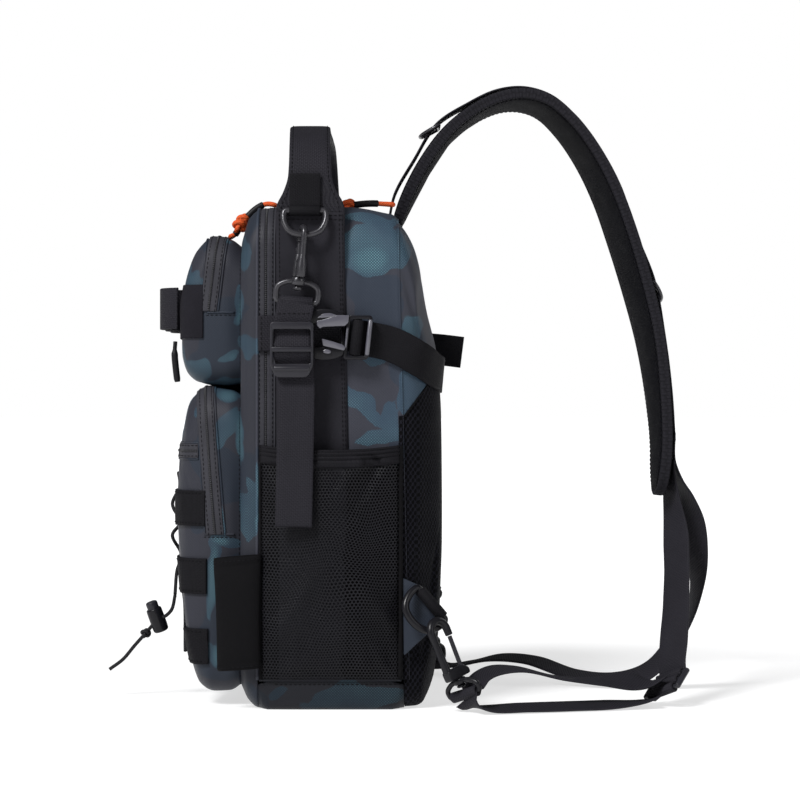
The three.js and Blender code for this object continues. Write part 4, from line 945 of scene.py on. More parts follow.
def make_finishes(colours):
    """All the materials of the bag."""
    for build in (weave_group, twill_group, grain_group, holes_group):
        build()
    camouflage(colours)
    web, net, plastic = colours.webbing, colours.net, colours.plastic
    # Each finish's builder, name, colour and how light it is, then the builder's other values in order
    for build, name, colour, scale, *values in (
        (woven, "Webbing", web, 1.15, 1.5, 1.15, 0.22, 0.62, 0.7),
        (woven, "Dark webbing", web, 0.45, 1.25, 0.95, 0.16, 0.7, 0.5),
        (woven, "Side band cloth", colours.band, 1.0, 0.75, 0.75, 0.1, 0.72, 0.45),
        (woven, "Binding tape", web, 0.8, 7.0, 2.6, 0.35, 0.75, 0.8),
        (woven, "Elastic", web, 0.22, 0.8, 0.7, 0.12, 0.8, 0.5),
        (woven, "Hem tape", web, 0.6, 3.2, 0.9, 0.2, 0.7, 0.6),
        (woven, "Zip tape", colours.tape, 1.0, 3.8, 0.6, 0.06, 0.5, 0.3),
        (air_mesh, "Back air mesh", net, 2.0, 3.4),
        (air_mesh, "Pad air mesh", net, 1.6, 2.3),
        (braided, "Orange cord", colours.orange, 1.0, 0.6),
        (braided, "Black cord", web, 0.7, 0.7),
        (moulded, "Moulded plastic", plastic, 2.4, 0.3, 0.02, 0.0, 1500.0, 0.3),
        (moulded, "Glossy plastic", plastic, 1.0, 0.28, 0.015, 0.0, 1500.0, 0.22),
        # A lighter copy of the black plastic, for the buckle: painted highlight
        (moulded, "Bright plastic", plastic, 9.0, 0.28, 0.02, 0.0, 1500.0, 1.0),
        (moulded, "Dark metal", colours.metal, 0.5, 0.26, 0.012, 0.35, 1800.0, 0.55),
        (moulded, "Zip coil", colours.tape, 0.4, 0.45, 0.03, 0.0, 2500.0, 0.4),
        (moulded, "Net thread", net, 1.35, 0.45, 0.5, 0.0, 1000.0, 0.2),
        (moulded, "Sewing thread", web, 0.4, 0.7, 0.1, 0.0, 3000.0, 0.1),
        (moulded, "Hook tape", web, 1.0, 0.85, 0.5, 0.0, 1700.0, 0.06),
        (moulded, "Grip tube", plastic, 0.6, 0.5, 0.05, 0.0, 2000.0, 0.2),
    ):
        build(name, full(colour, scale)[:3], *values)


# Fixes how the patches' edges wander
PATTERN_SEED = 5
# Camouflage patches on the near side: middle x and z, half length, half height, slant in degrees
BLUE_PATCHES = (
    (29, 322, 25, 19, 0), (30, 343, 19, 4, -8), (25, 210, 26, 6, -42), (42, 203, 7, 15, 0),
    (30, 187, 20, 5, 8), (29, 246, 10, 3, 0), (54, 267, 10, 9, 0), (55, 224, 8, 15, 0),
    (-58, 255, 7, 9, 0), (-58, 142, 7, 22, 0), (-92, 240, 10, 8, 10), (-68, 284, 3, 11, 0),
    (-72, 249, 6, 4, 30), (-76, 223, 11, 6, 0), (-76, 199, 7, 16, -20), (-98, 199, 4, 11, 0),
    (-78, 129, 3, 11, 0), (-85, 90, 5, 31, 0), (-83, 36, 5, 11, 30), (-77, 118, 10, 5, -10),
    (16, 9, 34, 9, 4), (-62, 60, 5, 20, 0), (-95, 300, 5, 9, 20), (-60, 320, 3, 14, 0),
    (-38, 12, 7, 4, 0),
)
# The seam between the lower pocket's side and its face, and the height where the upper pocket begins
POCKET_SEAM = -89.4
POCKET_SPLIT = 205
# Painted highlights where the raised threads catch the light: middle x and z, half length, half height
GLINTS = (
    (-75, 221, 10, 5.5), (-66, 192, 2.4, 25), (-85, 90, 4.4, 30), (-82.5, 36, 4.4, 10), (-80, 118, 8, 4),
    (-97.5, 198, 2.8, 10), (-67, 280, 2.6, 11), (-53, 149, 2, 30), (26, 315, 18, 15), (-70.5, 248, 3.4, 3.4),
)


def camouflage_fields(points):
    """How deep each point lies in a blue and in a plum patch, above zero inside, and how much it glints."""
    spots = np.full(len(points), -1.0)
    bent = points.copy()
    for size, reach in ((26, 7.0), (11, 4.0)):
        bent += [np.array(noise.noise_vector(Vector(p) / size)) * reach for p in points]
    for x, z, long, high, slant in BLUE_PATCHES:
        c, s = math.cos(math.radians(slant)), math.sin(math.radians(slant))
        dx, dz = bent[:, 0] - x, bent[:, 2] - z
        reach = np.hypot((dx * c + dz * s) / long, (dz * c - dx * s) / high)
        spots = np.maximum(spots, 1 - reach)
    wild = np.array([noise.noise(Vector(p) / 42) for p in bent])
    plum = np.array([noise.noise(Vector(p) / 36 + Vector((9, 4, 2))) for p in bent])
    side = np.clip((-points[:, 1] - 78) / 12, 0, 1)
    glint = np.zeros(len(points))
    for x, z, long, high in GLINTS:
        dx, dz = ((points + bent) / 2 - (x, 0, z))[:, [0, 2]].T
        reach = np.hypot(dx / long, dz / high)
        glint = np.maximum(glint, np.clip(1.7 * (1 - reach), 0, 1) * side)
    spots = np.maximum(spots, glint - 0.25)
    faced = (points[:, 0] < POCKET_SEAM) & (points[:, 2] < POCKET_SPLIT)
    spots[faced] = np.minimum(spots[faced], -0.3)
    glint[faced] = 0
    return spots * side + (wild * 1.6 - 0.18) * (1 - side), plum * 1.5 + 0.05, glint


def camouflaged(piece, blue=None, painted_brightness=1.0):
    """Gives a cloth piece its patches, or one even blue, and its painted brightness: a painted shade that
    darkens the whole piece.
    """
    points = places(piece)
    fields = [*camouflage_fields(points), np.full(len(points), painted_brightness)]
    for label, values in zip(("teal", "plum", "glint", "painted_brightness"), fields):
        if blue is not None and label != "painted_brightness":
            values = np.full(len(values), {"teal": blue, "plum": -1.0, "glint": 0.0}[label])
        attribute = piece.data.attributes.new(label, "FLOAT", "POINT")
        attribute.data.foreach_set("value", values.astype(np.float32))
    return piece


# Fitting of pieces to each other


def lay_on(piece, line, lift):
    """A line's nearest points on a piece, raised by lift, and the way the surface looks there."""
    corners = [vertex.co for vertex in piece.data.vertices]
    surface = BVHTree.FromPolygons(corners, [face.vertices for face in piece.data.polygons])
    points, looks = [], []
    for place in np.asarray(line, float)[:, :3]:
        spot, look, _, _ = surface.find_nearest(Vector(place) * MM)
        points.append(np.array(spot) / MM + np.array(look) * lift)
        looks.append(np.array(look))
    return np.array(points), np.array(looks)


def stitch_on(piece, line, lift=0.1, closed=False):
    """A row of stitches along a line laid on a piece."""
    points, looks = lay_on(piece, line, lift)
    stitch(points, looks, closed)


def closed_cup(table, xs, count, insets, dome=0.0):
    """Rings from a rim to a face, and the face in smaller and smaller rings."""
    rings = [loop_round(table, x, count) for x in xs]
    last = rings[-1]
    middle = last.mean(0)
    way = math.copysign(1, xs[-1] - xs[0])
    for share in insets:
        ring = middle + (last - middle) * share
        ring[:, 0] += way * dome * (1 - share**2)
        rings.append(ring)
    return loft(rings, caps=False)


def close_tip(piece):
    """Closes the small hole that the innermost ring of a face leaves."""
    work = opened(piece.data)
    rims = [edge for edge in work.edges if edge.is_boundary]
    shortest = min(edge.calc_length() for edge in rims)
    tip = [edge for edge in rims if edge.calc_length() < 2 * shortest]
    bmesh.ops.contextual_create(work, geom=tip)
    close_up(work, piece.data)


def ribbon(rows, step, power, sides):
    """A flat or padded band along rows of (x, y, z, across x, y, z, width, thick)."""
    path = smooth_path(rows, step)
    across, out = strap_frames(path[:, :3], path[:, 3:6])
    angle = full_turn(sides)
    reach = 2 / power
    c = np.sign(np.cos(angle)) * np.abs(np.cos(angle)) ** reach
    s = np.sign(np.sin(angle)) * np.abs(np.sin(angle)) ** reach
    rings = [p[:3] + np.outer(c * p[6] / 2, a) + np.outer(s * p[7] / 2, o)
             for p, a, o in zip(path, across, out)]
    return loft(rings), path, across, out


def sleeve(start, end, bar):
    """The webbing loop about a bar."""
    return tube_wall(start, end, bar + 0.5, bar + 2.1)


def grid_shape(rows):
    """An open sheet through rows of points."""
    return loft(np.asarray(rows, float), wrap=False, caps=False)


def matrix_of(place, *turns):
    """A place and then turns of (angle, axis), as one matrix."""
    made = Matrix.Translation(place)
    for angle, axis in turns:
        made = made @ Matrix.Rotation(angle, 4, axis)
    return made


def carried_points(matrix, points):
    """Points carried by a matrix."""
    return np.array([matrix @ Vector(point) for point in points])


# Stage

CAMERA_AT = (47, -2000, 217)
CAMERA_LENS = 120.87


def add_light(name, kind, energy, direction, place=(0, 0, 0), size=1.0):
    """A studio light that shines along direction; a sun's size is its angle."""
    lamp = bpy.data.lights.new(name, kind)
    lamp.energy = energy
    if kind == "SUN":
        lamp.angle = size
    else:
        lamp.shape = "DISK"
        lamp.size = size
    holder = add_object(name, lamp)
    holder.location = place
    holder.rotation_euler = Vector(direction).to_track_quat("-Z", "Y").to_euler()


def white_surround(scene):
    """White to the camera, softer as a light."""
    world = bpy.data.worlds.new("Studio")
    world.use_nodes = True
    tree = world.node_tree
    tree.nodes.clear()
    seen = link(tree, "ShaderNodeBackground", {"Color": (1, 1, 1, 1), "Strength": 1.0})
    lit = link(tree, "ShaderNodeBackground", {"Color": (0.96, 0.98, 1, 1), "Strength": 0.13})
    path = link(tree, "ShaderNodeLightPath")
    either = link(tree, "ShaderNodeMixShader", {
        0: path.outputs["Is Camera Ray"], 1: lit.outputs[0], 2: seen.outputs[0]})
    link(tree, "ShaderNodeOutputWorld", {"Surface": either.outputs[0]})
    scene.world = world


def pale_floor():
    """A wide pale floor with a faint unevenness."""
    tree, shader = new_finish("Floor", {SHINE: 0.2, "Roughness": 0.8, "Emission Strength": 1.0})
    place = link(tree, "ShaderNodeTexCoord").outputs["Object"]
    field = link(tree, "ShaderNodeTexNoise", {"Vector": place, "Scale": 1.2, "Detail": 2.0}).outputs[0]
    shade = blend_colours(tree, field, (0.4, 0.4, 0.405, 1), (0.42, 0.42, 0.42, 1))
    tree.links.new(shade, shader.inputs["Base Color"])
    away = link(tree, "ShaderNodeVectorMath", {0: place}, operation="LENGTH").outputs["Value"]
    glow = link(tree, "ShaderNodeMapRange", {
        "Value": away, "From Min": 0.3, "From Max": 1.5, "To Min": 0.63, "To Max": 0.83}).outputs[0]
    shine = link(tree, "ShaderNodeCombineColor", {0: glow, 1: glow, 2: glow})
    tree.links.new(shine.outputs[0], shader.inputs["Emission Color"])
    edges = np.linspace(-30000, 30000, 13)
    floor = make("floor", grid_shape([[(x, y, 0) for y in edges] for x in edges]), "Floor", closed=False)
    floor.data.flip_normals()


class MakeFinishes(bpy.types.Operator):
    """Materials of the cloth, webbing, cords and hardware"""

    bl_idname = "bag.finishes"
    bl_label = "Finishes"

    def execute(self, context):
        noise.seed_set(PATTERN_SEED)
        make_finishes(context.scene.bag_colours)
        return {"FINISHED"}


class MakeStage(bpy.types.Operator):
    """Camera, pale floor and soft studio light"""

    bl_idname = "bag.stage"
    bl_label = "Stage"

    def execute(self, context):
        scene = context.scene
        scene.view_settings.view_transform = "Standard"
        lens = bpy.data.cameras.new("Camera")
        lens.lens = CAMERA_LENS
        lens.sensor_width = 36.0
        lens.clip_end = 100.0
        camera = add_object("Camera", lens)
        camera.location = [value * MM for value in CAMERA_AT]
        camera.rotation_euler = (math.pi / 2, 0, 0)
        scene.camera = camera
        white_surround(scene)
        pale_floor()
        add_light("Key", "SUN", 3.5, (0.55, 0.72, -0.95), size=0.3)
        add_light("Left panel", "AREA", 5.0, (0.7, 0.6, -0.45), (-1.0, -1.1, 0.9), 0.8)
        add_light("Right panel", "AREA", 3.0, (-0.8, 0.5, -0.35), (1.2, -0.9, 0.7), 0.6)
        add_light("Back panel", "AREA", 6.0, (-0.7, -0.5, -0.4), (1.3, 1.0, 1.0), 0.8)
        return {"FINISHED"}


# Elastic lacing: sideways place, height and distance off the pocket's face
LACING = (
    (-62, 36, 5), (-34, 69, 3.6), (-62, 93, 3.2), (-34, 117, 3.2), (-62, 141, 3.2), (-54, 158, 3),
    (-46, 164, 4.6), (-38, 156, 3), (-30, 141, 10.4), (-42, 128, 3.6), (-54, 119, 8.4), (-42, 105, 3.4),
    (-28, 91, 8.5), (-48, 76, 9),
)
TAIL = (
    (-116.4, -49.1, 75.1), (-119, -44, 65), (-124, -38, 59.5), (-130.5, -33, 56), (-139.5, -31, 46),
    (-148, -30, 36.5), (-156, -30, 27), (-166, -30, 19.5),
)
KNOT_ROW = 4
LOCK_AT = (-130.5, -33, 56)
LOCK_AXIS = (-0.33, -0.12, 0.936)


def face_x(z):
    """How far the lower pocket's face stands forward at a height."""
    face = LOWER_POCKET[2:]
    heights = [row.low for row in face] + [row.high for row in reversed(face)]
    return np.interp(z, heights, [row.x for row in face] + [row.x for row in reversed(face)])


def tied_knot(place, size, wire):
    """A tight overhand knot about a place."""
    t = full_turn(72)
    ring = 2 + np.cos(3 * t)
    line = np.stack([ring * np.cos(2 * t), 1.5 * np.sin(3 * t), ring * np.sin(2 * t)], 1) * size / 3
    turn = np.array(Matrix.Rotation(0.6, 3, "X") @ Matrix.Rotation(0.5, 3, "Z"))
    return sweep(line @ turn.T + np.asarray(place), wire, 8, closed=True)


def free_cord(name, rows, diameter, node):
    """A round elastic cord along rows, measured as it lies."""
    line = smooth_path(rows, 1.2)
    piece = make(name, sweep(line, diameter / 2, 10), "Black cord")
    carry(piece, node)


class BuildCords(bpy.types.Operator):
    """Elastic lacing on the lower pocket, its tail and the cord lock"""

    bl_idname = "bag.cords"
    bl_label = "Lacing and cord lock"

    def execute(self, context):
        diameter = context.scene.bag_sizes.cord / MM
        route = [(face_x(z) - off, y, z) for y, z, off in LACING]
        free_cord("lacing_cord", route, diameter, "bungee_lacing")
        grip = [(-9, 3.4), (-8.8, 4.4), (-8.2, 5.2), (-7.2, 5.6), (-4, 5.8), (4, 5.8), (7.6, 5.7)]
        grip += [(8.6, 5.5), (9, 5.1), (9, 4.7), (3.6, 4.6)]
        barrel = make("lock_barrel", lathe(grip, LOCK_AT, LOCK_AXIS, 32), "Glossy plastic")
        carry(soften(barrel, 0.15, 2), "cord_lock_barrel")
        cap = [(7.2, 4.1), (7.4, 4.3), (13.2, 4.35), (14.0, 4.0), (14.4, 3.2), (14.5, 1.6)]
        button = make("lock_button", lathe(cap, LOCK_AT, LOCK_AXIS, 32), "Moulded plastic")
        carry(soften(button, 0.15, 2), "cord_lock_button", body="cord_lock_button")
        knot = carry(make("tail_knot", tied_knot(TAIL[KNOT_ROW], 3.0, 1.3), "Black cord"))
        free_cord("tail_cord", TAIL, diameter, "bungee_tail")
        return {"FINISHED"}


# Body

BASE_TOP = 21.0
CLOTH_FOOT = BASE_TOP + 0.3
CLOTH_WALL = 1.4
GUSSET_POINTS = 280
ZIP_FRONT = -52.5
ZIP_BACK = -40.6
BACK_SEAM = 41.0
PAD_SEAM = 45.2
BAND_TOP = 348.0
BAND_OVER = 124.9
POCKET_TOP = 182.0


def ripple(point, size, seed):
    """A soft unevenness of cloth at a point."""
    return size * noise.noise(Vector((point[0] / 24 + seed, point[1] / 40, point[2] / 34)))


def seam_ring(offset):
    """The line where the gusset ends on the edge of the back pad."""
    return hoop(BACK_PAD, PAD_SEAM, CLOTH_FOOT, GUSSET_POINTS, offset)


def side_line(side, xs, z, offset=0.0):
    """A level line along a side of the body, straight on past the back seam."""
    return [(x, side * side_y(min(x, BACK_SEAM), z, offset), z) for x in xs]


def gusset_shape():
    """The cloth from the main zip to the back seam, slack behind the side bands."""
    rings = []
    for x in np.linspace(ZIP_BACK, BACK_SEAM, 34):
        ring = hoop(BODY, x, CLOTH_FOOT, GUSSET_POINTS)
        slack = min(max((x - 9) / 8, 0), 1) * min((BACK_SEAM + 3 - x) / 6, 1)
        for point in ring:
            point[1] += math.copysign(ripple(point, 1.6 * slack, 3), point[1]) * (abs(point[1]) > 90)
        rings.append(ring)
    rings += [hoop(BACK_PAD, x, CLOTH_FOOT, GUSSET_POINTS, 0.5) for x in (43, 44.4)]
    return grid_shape(rings + [seam_ring(0.3)])


def base_shape():
    """The cloth under the bag, turned up at both sides."""
    rings = []
    for x in np.linspace(ZIP_FRONT, BACK_SEAM, 30):
        square = 18 - 13 * min((x - ZIP_FRONT) / 6, (BACK_SEAM - x) / 6, 1)
        rings.append(cradle(section_at(BODY, x)._replace(foot_radius=square), BASE_TOP, 170))
    return grid_shape(rings)


def cloth_piece(name, shape, node, painted_brightness=1.0):
    """A piece of the camouflage cloth with its lining, darkened as painted shade where given."""
    piece = box_map(camouflaged(make(name, shape, CAMOUFLAGE), painted_brightness=painted_brightness))
    return carry(thicken(piece, CLOTH_WALL), node)


def piping(name, line, radius, finish=CAMOUFLAGE, painted_brightness=1.0, sides=10):
    """A round welt sewn into a seam; a camouflage welt takes painted shade as given."""
    piece = make(name, sweep(line, radius, sides), finish)
    if finish == CAMOUFLAGE:
        camouflaged(piece, painted_brightness=painted_brightness)
    carry(piece)


class BuildBody(bpy.types.Operator):
    """Front panel, gusset, base and the welts of their seams"""

    bl_idname = "bag.body"
    bl_label = "Body"

    def execute(self, context):
        # The front panel is darkened as painted shade
        front = closed_cup(BODY, np.linspace(ZIP_FRONT - 0.3, -65, 9), 260, (0.97, 0.9, 0.75, 0.5, 0.1))
        close_tip(cloth_piece("front_panel_cloth", front, "front_panel", 0.64))
        gusset = cloth_piece("gusset_cloth", gusset_shape(), "gusset_shell")
        # The base is darkened the most, as painted shade on its underside
        base = cloth_piece("base_cloth", base_shape(), "base_panel", 0.29)
        cuts = [((46.2, 0, 0), (-1, 0, 0)), ((0, 0, 206), (0, 0, 1))]
        carry(patch(gusset, "gusset_foot_mesh", "Back air mesh", cuts, 0.5, 0.4))
        piping("front_welt", hoop(BODY, ZIP_FRONT - 0.3, BASE_TOP, 320, 0.5), 1.2)
        piping("gusset_welt", hoop(BODY, ZIP_BACK, POCKET_TOP - 6, 260, 0.4), 0.7, "Zip tape")
        piping("back_welt", seam_ring(0.2), 0.6)
        for side in (NEAR, FAR):
            for z, owner in ((BASE_TOP + 2.5, gusset), (BASE_TOP - 3.0, base)):
                stitch_on(owner, side_line(side, np.linspace(ZIP_BACK + 1, BACK_SEAM + 6, 60), z), 0.2)
            edge = side_line(side, np.linspace(ZIP_BACK - 11, 48, 80), BASE_TOP, 0.6)
            # The welts along the base are darkened as painted shade
            piping(f"base_welt_{side + 2}", edge, 0.9, painted_brightness=0.42)
        return {"FINISHED"}


# The main zip's tape: place across it and height over the body
ZIP_RISE = (
    (-52.5, 0.2), (-51.6, 0.7), (-49.4, 0.7), (-48.4, 0.9), (-47.7, 0.7), (-47.3, -0.2),
    (-46.1, -0.2), (-45.7, 0.7), (-45.0, 0.9), (-44.0, 0.7), (-41.8, 0.7), (-40.9, 0.2),
)
ZIP_MIDDLE = -46.7
# Width and height of a zip's tooth in metres
TOOTH_WIDE = 0.0026
TOOTH_HIGH = 0.0013


def zip_teeth(name, line, looks):
    """The coil of a zip along a line; looks are the ways that its tape faces."""
    pitch = bpy.context.scene.bag_sizes.tooth_pitch
    path = resample(np.hstack([line, looks]), step=pitch / MM)
    row = path[:, :3], tangents(path[:, :3]), unit(path[:, 3:])
    carry(beads_on(name, [row], "Zip coil", (pitch * 0.8, TOOTH_WIDE, TOOTH_HIGH)))


class BuildMainZip(bpy.types.Operator):
    """The main zip over the top of the bag"""

    bl_idname = "bag.main_zip"
    bl_label = "Main zip"

    def execute(self, context):
        rings = [hoop(BODY, x, CLOTH_FOOT, 300, rise) for x, rise in ZIP_RISE]
        tape = make("main_zip_tape", grid_shape(rings), "Zip tape")
        carry(thicken(tape, 0.9), "main_zip")
        line, inner = (hoop(BODY, ZIP_MIDDLE, BASE_TOP + 2, 420, offset) for offset in (0, -3))
        zip_teeth("main_zip_teeth", line, unit(line - inner))
        for x in (ZIP_FRONT + 1.3, ZIP_BACK - 1.5):
            stitch_on(tape, hoop(BODY, x, BASE_TOP + 2, 320, 0.6), 0.15)
        return {"FINISHED"}


YOKE_SEAM = ((46, 0, 200), (-1.35, 0, 1))
PAD_POINTS = 200
PAD_LOWEST = 0.6
# Hollows in the pad's face: column of the place, middle, width, where they begin and depth
PAD_HOLLOWS = ((1, 0, 8, 60, 2.4), (2, 283, 24, 58, 3.5))


def pad_shape():
    """The foam back, from its seam to its face."""
    xs = np.concatenate([np.linspace(41.3, 57, 8), np.linspace(59, 71.5, 8), np.linspace(72.5, 75.4, 4)])
    return closed_cup(BACK_PAD, xs, PAD_POINTS, (0.93, 0.82, 0.68, 0.52, 0.35, 0.18, 0.04), 0.6)


class BuildBackPad(bpy.types.Operator):
    """Padded back: camouflage yoke and air mesh below a slanting seam"""

    bl_idname = "bag.back_pad"
    bl_label = "Back pad"

    def execute(self, context):
        pad = make("back_pad", pad_shape(), "Back air mesh")
        inflate(pad, range(2 * PAD_POINTS), 3.0, 3.0)
        points = places(pad)
        depth = 2.4 * np.clip((points[:, 0] - 56) / 12, 0, 1)
        for column, middle, wide, begin, deep in PAD_HOLLOWS:
            hollow = deep * np.exp(-((points[:, column] - middle) / wide) ** 2)
            depth += hollow * np.clip((points[:, 0] - begin) / 8, 0, 1)
        points[:, 0] -= depth
        points[:, 2] = np.maximum(points[:, 2], PAD_LOWEST)
        move_to(pad, points)
        close_tip(subdivided(pad))
        place, up = YOKE_SEAM
        down = tuple(-value for value in up)
        yoke = patch(pad, "yoke_cloth", CAMOUFLAGE, [(place, down)])
        mesh = patch(pad, "back_mesh_cloth", "Back air mesh", [(place, up)])
        bpy.data.objects.remove(pad)
        edge = [p for p in places(yoke) if abs((p - place).dot(up)) < 0.02]
        edge.sort(key=lambda p: math.atan2(p[1], p[0] - 20))
        seam = resample(np.array(edge), step=1.5)
        camouflaged(yoke)
        for piece, slot, node in ((yoke, "camo", "back_yoke"), (mesh, "mesh", "back_mesh_pad")):
            carry(thicken(box_map(piece), 2.0), node)
        piping("yoke_welt", seam[5:-5], 0.8, "Elastic")
        return {"FINISHED"}


# Front pockets


def pocket_cloth(name, table, xs, count, insets, node):
    """A front pocket of slack cloth, held at its rim."""
    piece = make(name, closed_cup(table, xs, count, insets, 1.0), CAMOUFLAGE)
    inflate(piece, range(2 * count), 1.6, 2.5)
    points = places(piece)
    free = np.clip((-66 - points[:, 0]) / 6, 0, 1)
    points[:, 0] += free * [ripple(p, 1.5, 7) for p in points]
    points[:, 2] += free * [ripple(p, 1.0, 11) for p in points]
    points[:, 1] += free * [ripple(p[[1, 2, 0]], 1.6, 15) for p in points]
    move_to(piece, points)
    close_tip(subdivided(piece))
    # The pocket cloth is darkened as painted shade
    box_map(camouflaged(piece, painted_brightness=POCKET_PAINTED_BRIGHTNESS))
    return carry(piece, node)


# A pocket zip's tape above the cloth, its thickness, and its teeth above the cloth
TAPE_LIFT, TAPE_WALL, TEETH_LIFT = 0.3, 0.8, 1.2


def zip_on(piece, name, cuts, line, node, seam=4.6):
    """A zip's tape laid on a pocket, its teeth, and the stitches beside them."""
    tape = carry(patch(piece, name, "Zip tape", cuts, TAPE_LIFT, TAPE_WALL), node)
    points, looks = lay_on(piece, line, TEETH_LIFT)
    zip_teeth(name + "_teeth", points, looks)
    across = np.cross(tangents(points), looks)
    for share in (-seam, seam):
        stitch_on(tape, points + across * share, 0.9)


def band_cuts(front, low, high):
    """Cuts that leave a level strip in front of a place."""
    return [((front, 0, 0), (1, 0, 0)), ((0, 0, low), (0, 0, -1)), ((0, 0, high), (0, 0, 1))]


def slanted(line, lean, level):
    """A line moved forwards or back in step with its height over a level."""
    moved = np.array(line, float)
    moved[:, 0] += lean * (moved[:, 2] - level)
    return moved


def arch_cuts(front, back, low, lean, level):
    """Cuts that leave a leaning arch over a pocket."""
    return [((front, 0, level), (-1, 0, lean)), ((back, 0, level), (1, 0, -lean)), ((0, 0, low), (0, 0, -1))]


def level_line(piece, z, front):
    """A level line round the front of a pocket."""
    work = opened(piece.data)
    parts = work.verts[:] + work.edges[:] + work.faces[:]
    cut = bmesh.ops.bisect_plane(work, geom=parts, plane_co=(0, 0, z * MM), plane_no=(0, 0, 1))["geom_cut"]
    points = np.array([part.co for part in cut if isinstance(part, bmesh.types.BMVert)]) / MM
    work.free()
    points = points[points[:, 0] < front]
    return resample(points[np.argsort(np.arctan2(points[:, 1], -66 - points[:, 0]))], step=1.5)


# Pocket zips: front edge, back edge, foot, lean and the height that the edges are given at
UPPER_ZIP = (-92.2, -80.2, 280, 0.119, 305)
LOWER_ZIP = (-93.6, -81.6, 122, -0.082, 175)
# Front pockets: name, sections, stretches of rings as first x, last x and count, points in a ring, rings of
# the face as shares of its size, and zip
POCKETS = (
    ("upper", UPPER_POCKET, ((-64.6, -98, 15), (-99.5, -110, 8)), 180,
     (0.93, 0.82, 0.66, 0.48, 0.3, 0.1), UPPER_ZIP),
    ("lower", LOWER_POCKET, ((-64.6, -95, 14), (-96.5, -109.5, 10)), 220,
     (0.94, 0.84, 0.7, 0.54, 0.36, 0.18, 0.05), LOWER_ZIP),
)
# How far the front pockets' cloth and welts are darkened, as painted shade
POCKET_PAINTED_BRIGHTNESS = 0.72
# Webbing rows on the lower pocket: node, foot, top and the x where they end
MOLLE_ROWS = (
    ("molle_row_1", 128, 153, -90.2), ("molle_row_2", 80, 105, -89.4), ("molle_row_3", 30.5, 55.5, -88.4),
)
POCKET_TAB = ((-64, 0, 225.5, 0, 1, 0), (-76, 0, 225.5, 0, 1, 0), (-88, 0, 224, 0, 1, 0))


def trim_pocket(piece, word, table, zip_row):
    """The zip of a front pocket, the welts beside and below it, and the stitches of its seams."""
    front, back, low, lean, level = zip_row
    line = slanted(hoop(table, (front + back) / 2, low + 1, 260), lean, level)
    zip_on(piece, f"{word}_zip_tape", arch_cuts(front, back, low, lean, level), line, f"{word}_pocket_zip")
    # The welts are darkened as painted shade, like the pockets
    for number, x in enumerate((front - 0.9, back + 0.9)):
        line, _ = lay_on(piece, slanted(hoop(table, x, low, 260), lean, level), 0.1)
        piping(f"{word}_welt_{number + 1}", line, 0.9, painted_brightness=POCKET_PAINTED_BRIGHTNESS, sides=8)
    stitch_on(piece, loop_round(table, -66.6, 400), closed=True)
    for side in (NEAR, FAR):
        seam = np.array([(x, side * 112, low - 0.2) for x in np.linspace(front - 1, -67, 14)])
        # The foot welts are darkened a little, as painted shade
        piping(f"{word}_foot_welt_{side + 2}", lay_on(piece, seam, 0.1)[0], 0.8, painted_brightness=0.8, sides=8)
        stitch_on(piece, seam - (0, 0, 2.2))


class BuildPockets(bpy.types.Operator):
    """Front pockets with their zips, webbing rows and hook panel"""

    bl_idname = "bag.pockets"
    bl_label = "Front pockets"

    def execute(self, context):
        made = []
        for word, table, stretches, count, insets, _ in POCKETS:
            xs = np.concatenate([np.linspace(*stretch) for stretch in stretches])
            made.append(pocket_cloth(f"{word}_pocket_cloth", table, xs, count, insets, f"{word}_pocket"))
        for piece, (word, table, *_, zip_row) in zip(made, POCKETS):
            trim_pocket(piece, word, table, zip_row)
        upper, lower = made
        sewn("pocket_tab", strap(POCKET_TAB, 90, thick=5.5), "Dark webbing")
        line = level_line(lower, 181, -96.5)
        zip_on(lower, "front_zip_tape", band_cuts(-95.5, 176, 186), line, "lower_front_zip", 3.7)
        # These welts take the pockets' painted shade
        for number, z in enumerate((175.4, 186.6)):
            piping(f"front_welt_{number + 1}", level_line(lower, z, -95), 0.9, painted_brightness=POCKET_PAINTED_BRIGHTNESS, sides=8)
        for name, low, high, end in MOLLE_ROWS:
            row = patch(lower, name + "_webbing", "Dark webbing", band_cuts(end, low, high), 0.3, 1.6)
            carry(set_map(row, ROUND_MAP), name)
            for z in (low + 2, high - 2):
                stitch_on(row, level_line(lower, z, -93), 1.8)
        panel = patch(upper, "hook_panel_cloth", "Hook tape", band_cuts(-92.8, 261, 299), 0.3, 1.0)
        carry(panel, "hook_panel")
        loops = [(-112.9 - 14 * abs(math.sin(3 * math.pi * t)) ** 0.7, -66 + 132 * t, 283, 0, 0, 1)
                 for t in np.linspace(0, 1, 37)]
        sewn("upper_loops", strap(loops, 30, 1.5, 0.0, thick=1.6), "Webbing", "upper_webbing")
        return {"FINISHED"}


# Sides


def band_edge(z):
    """The back edge of a side band, which leans a little."""
    return 8 + 3 * min(max((BAND_TOP - z) / 166, 0), 1)


def band_rows(side):
    """Rows of the black band down the middle of a side, up over the foot of the handle."""
    rows = []
    for z in np.linspace(BASE_TOP + 1, BAND_TOP, 100):
        row = []
        for x in np.linspace(ZIP_BACK + 1, band_edge(z), 22):
            lift = 1.9 + ripple((x, 0, z), 0.5, 21)
            lift -= 0.9 * max(0, 1 - min(x - ZIP_BACK - 1, band_edge(z) - x) / 1.5)
            y = side_y(x, z, lift)
            over = min(max((z - 298) / 22, 0), 1)
            row.append((x, side * (y + over * max(BAND_OVER - y, 0)), z))
        rows.append(row)
    return rows


# How far out a net stands: height and share of its belly
NET_BOW = ((22.5, 0.02), (31, 0.45), (60, 0.85), (120, 1.0), (170, 0.97), (182, 0.95))
NET_FRONT = -51.0
NET_FOOT = 20.6
NET_BACK = 46.96
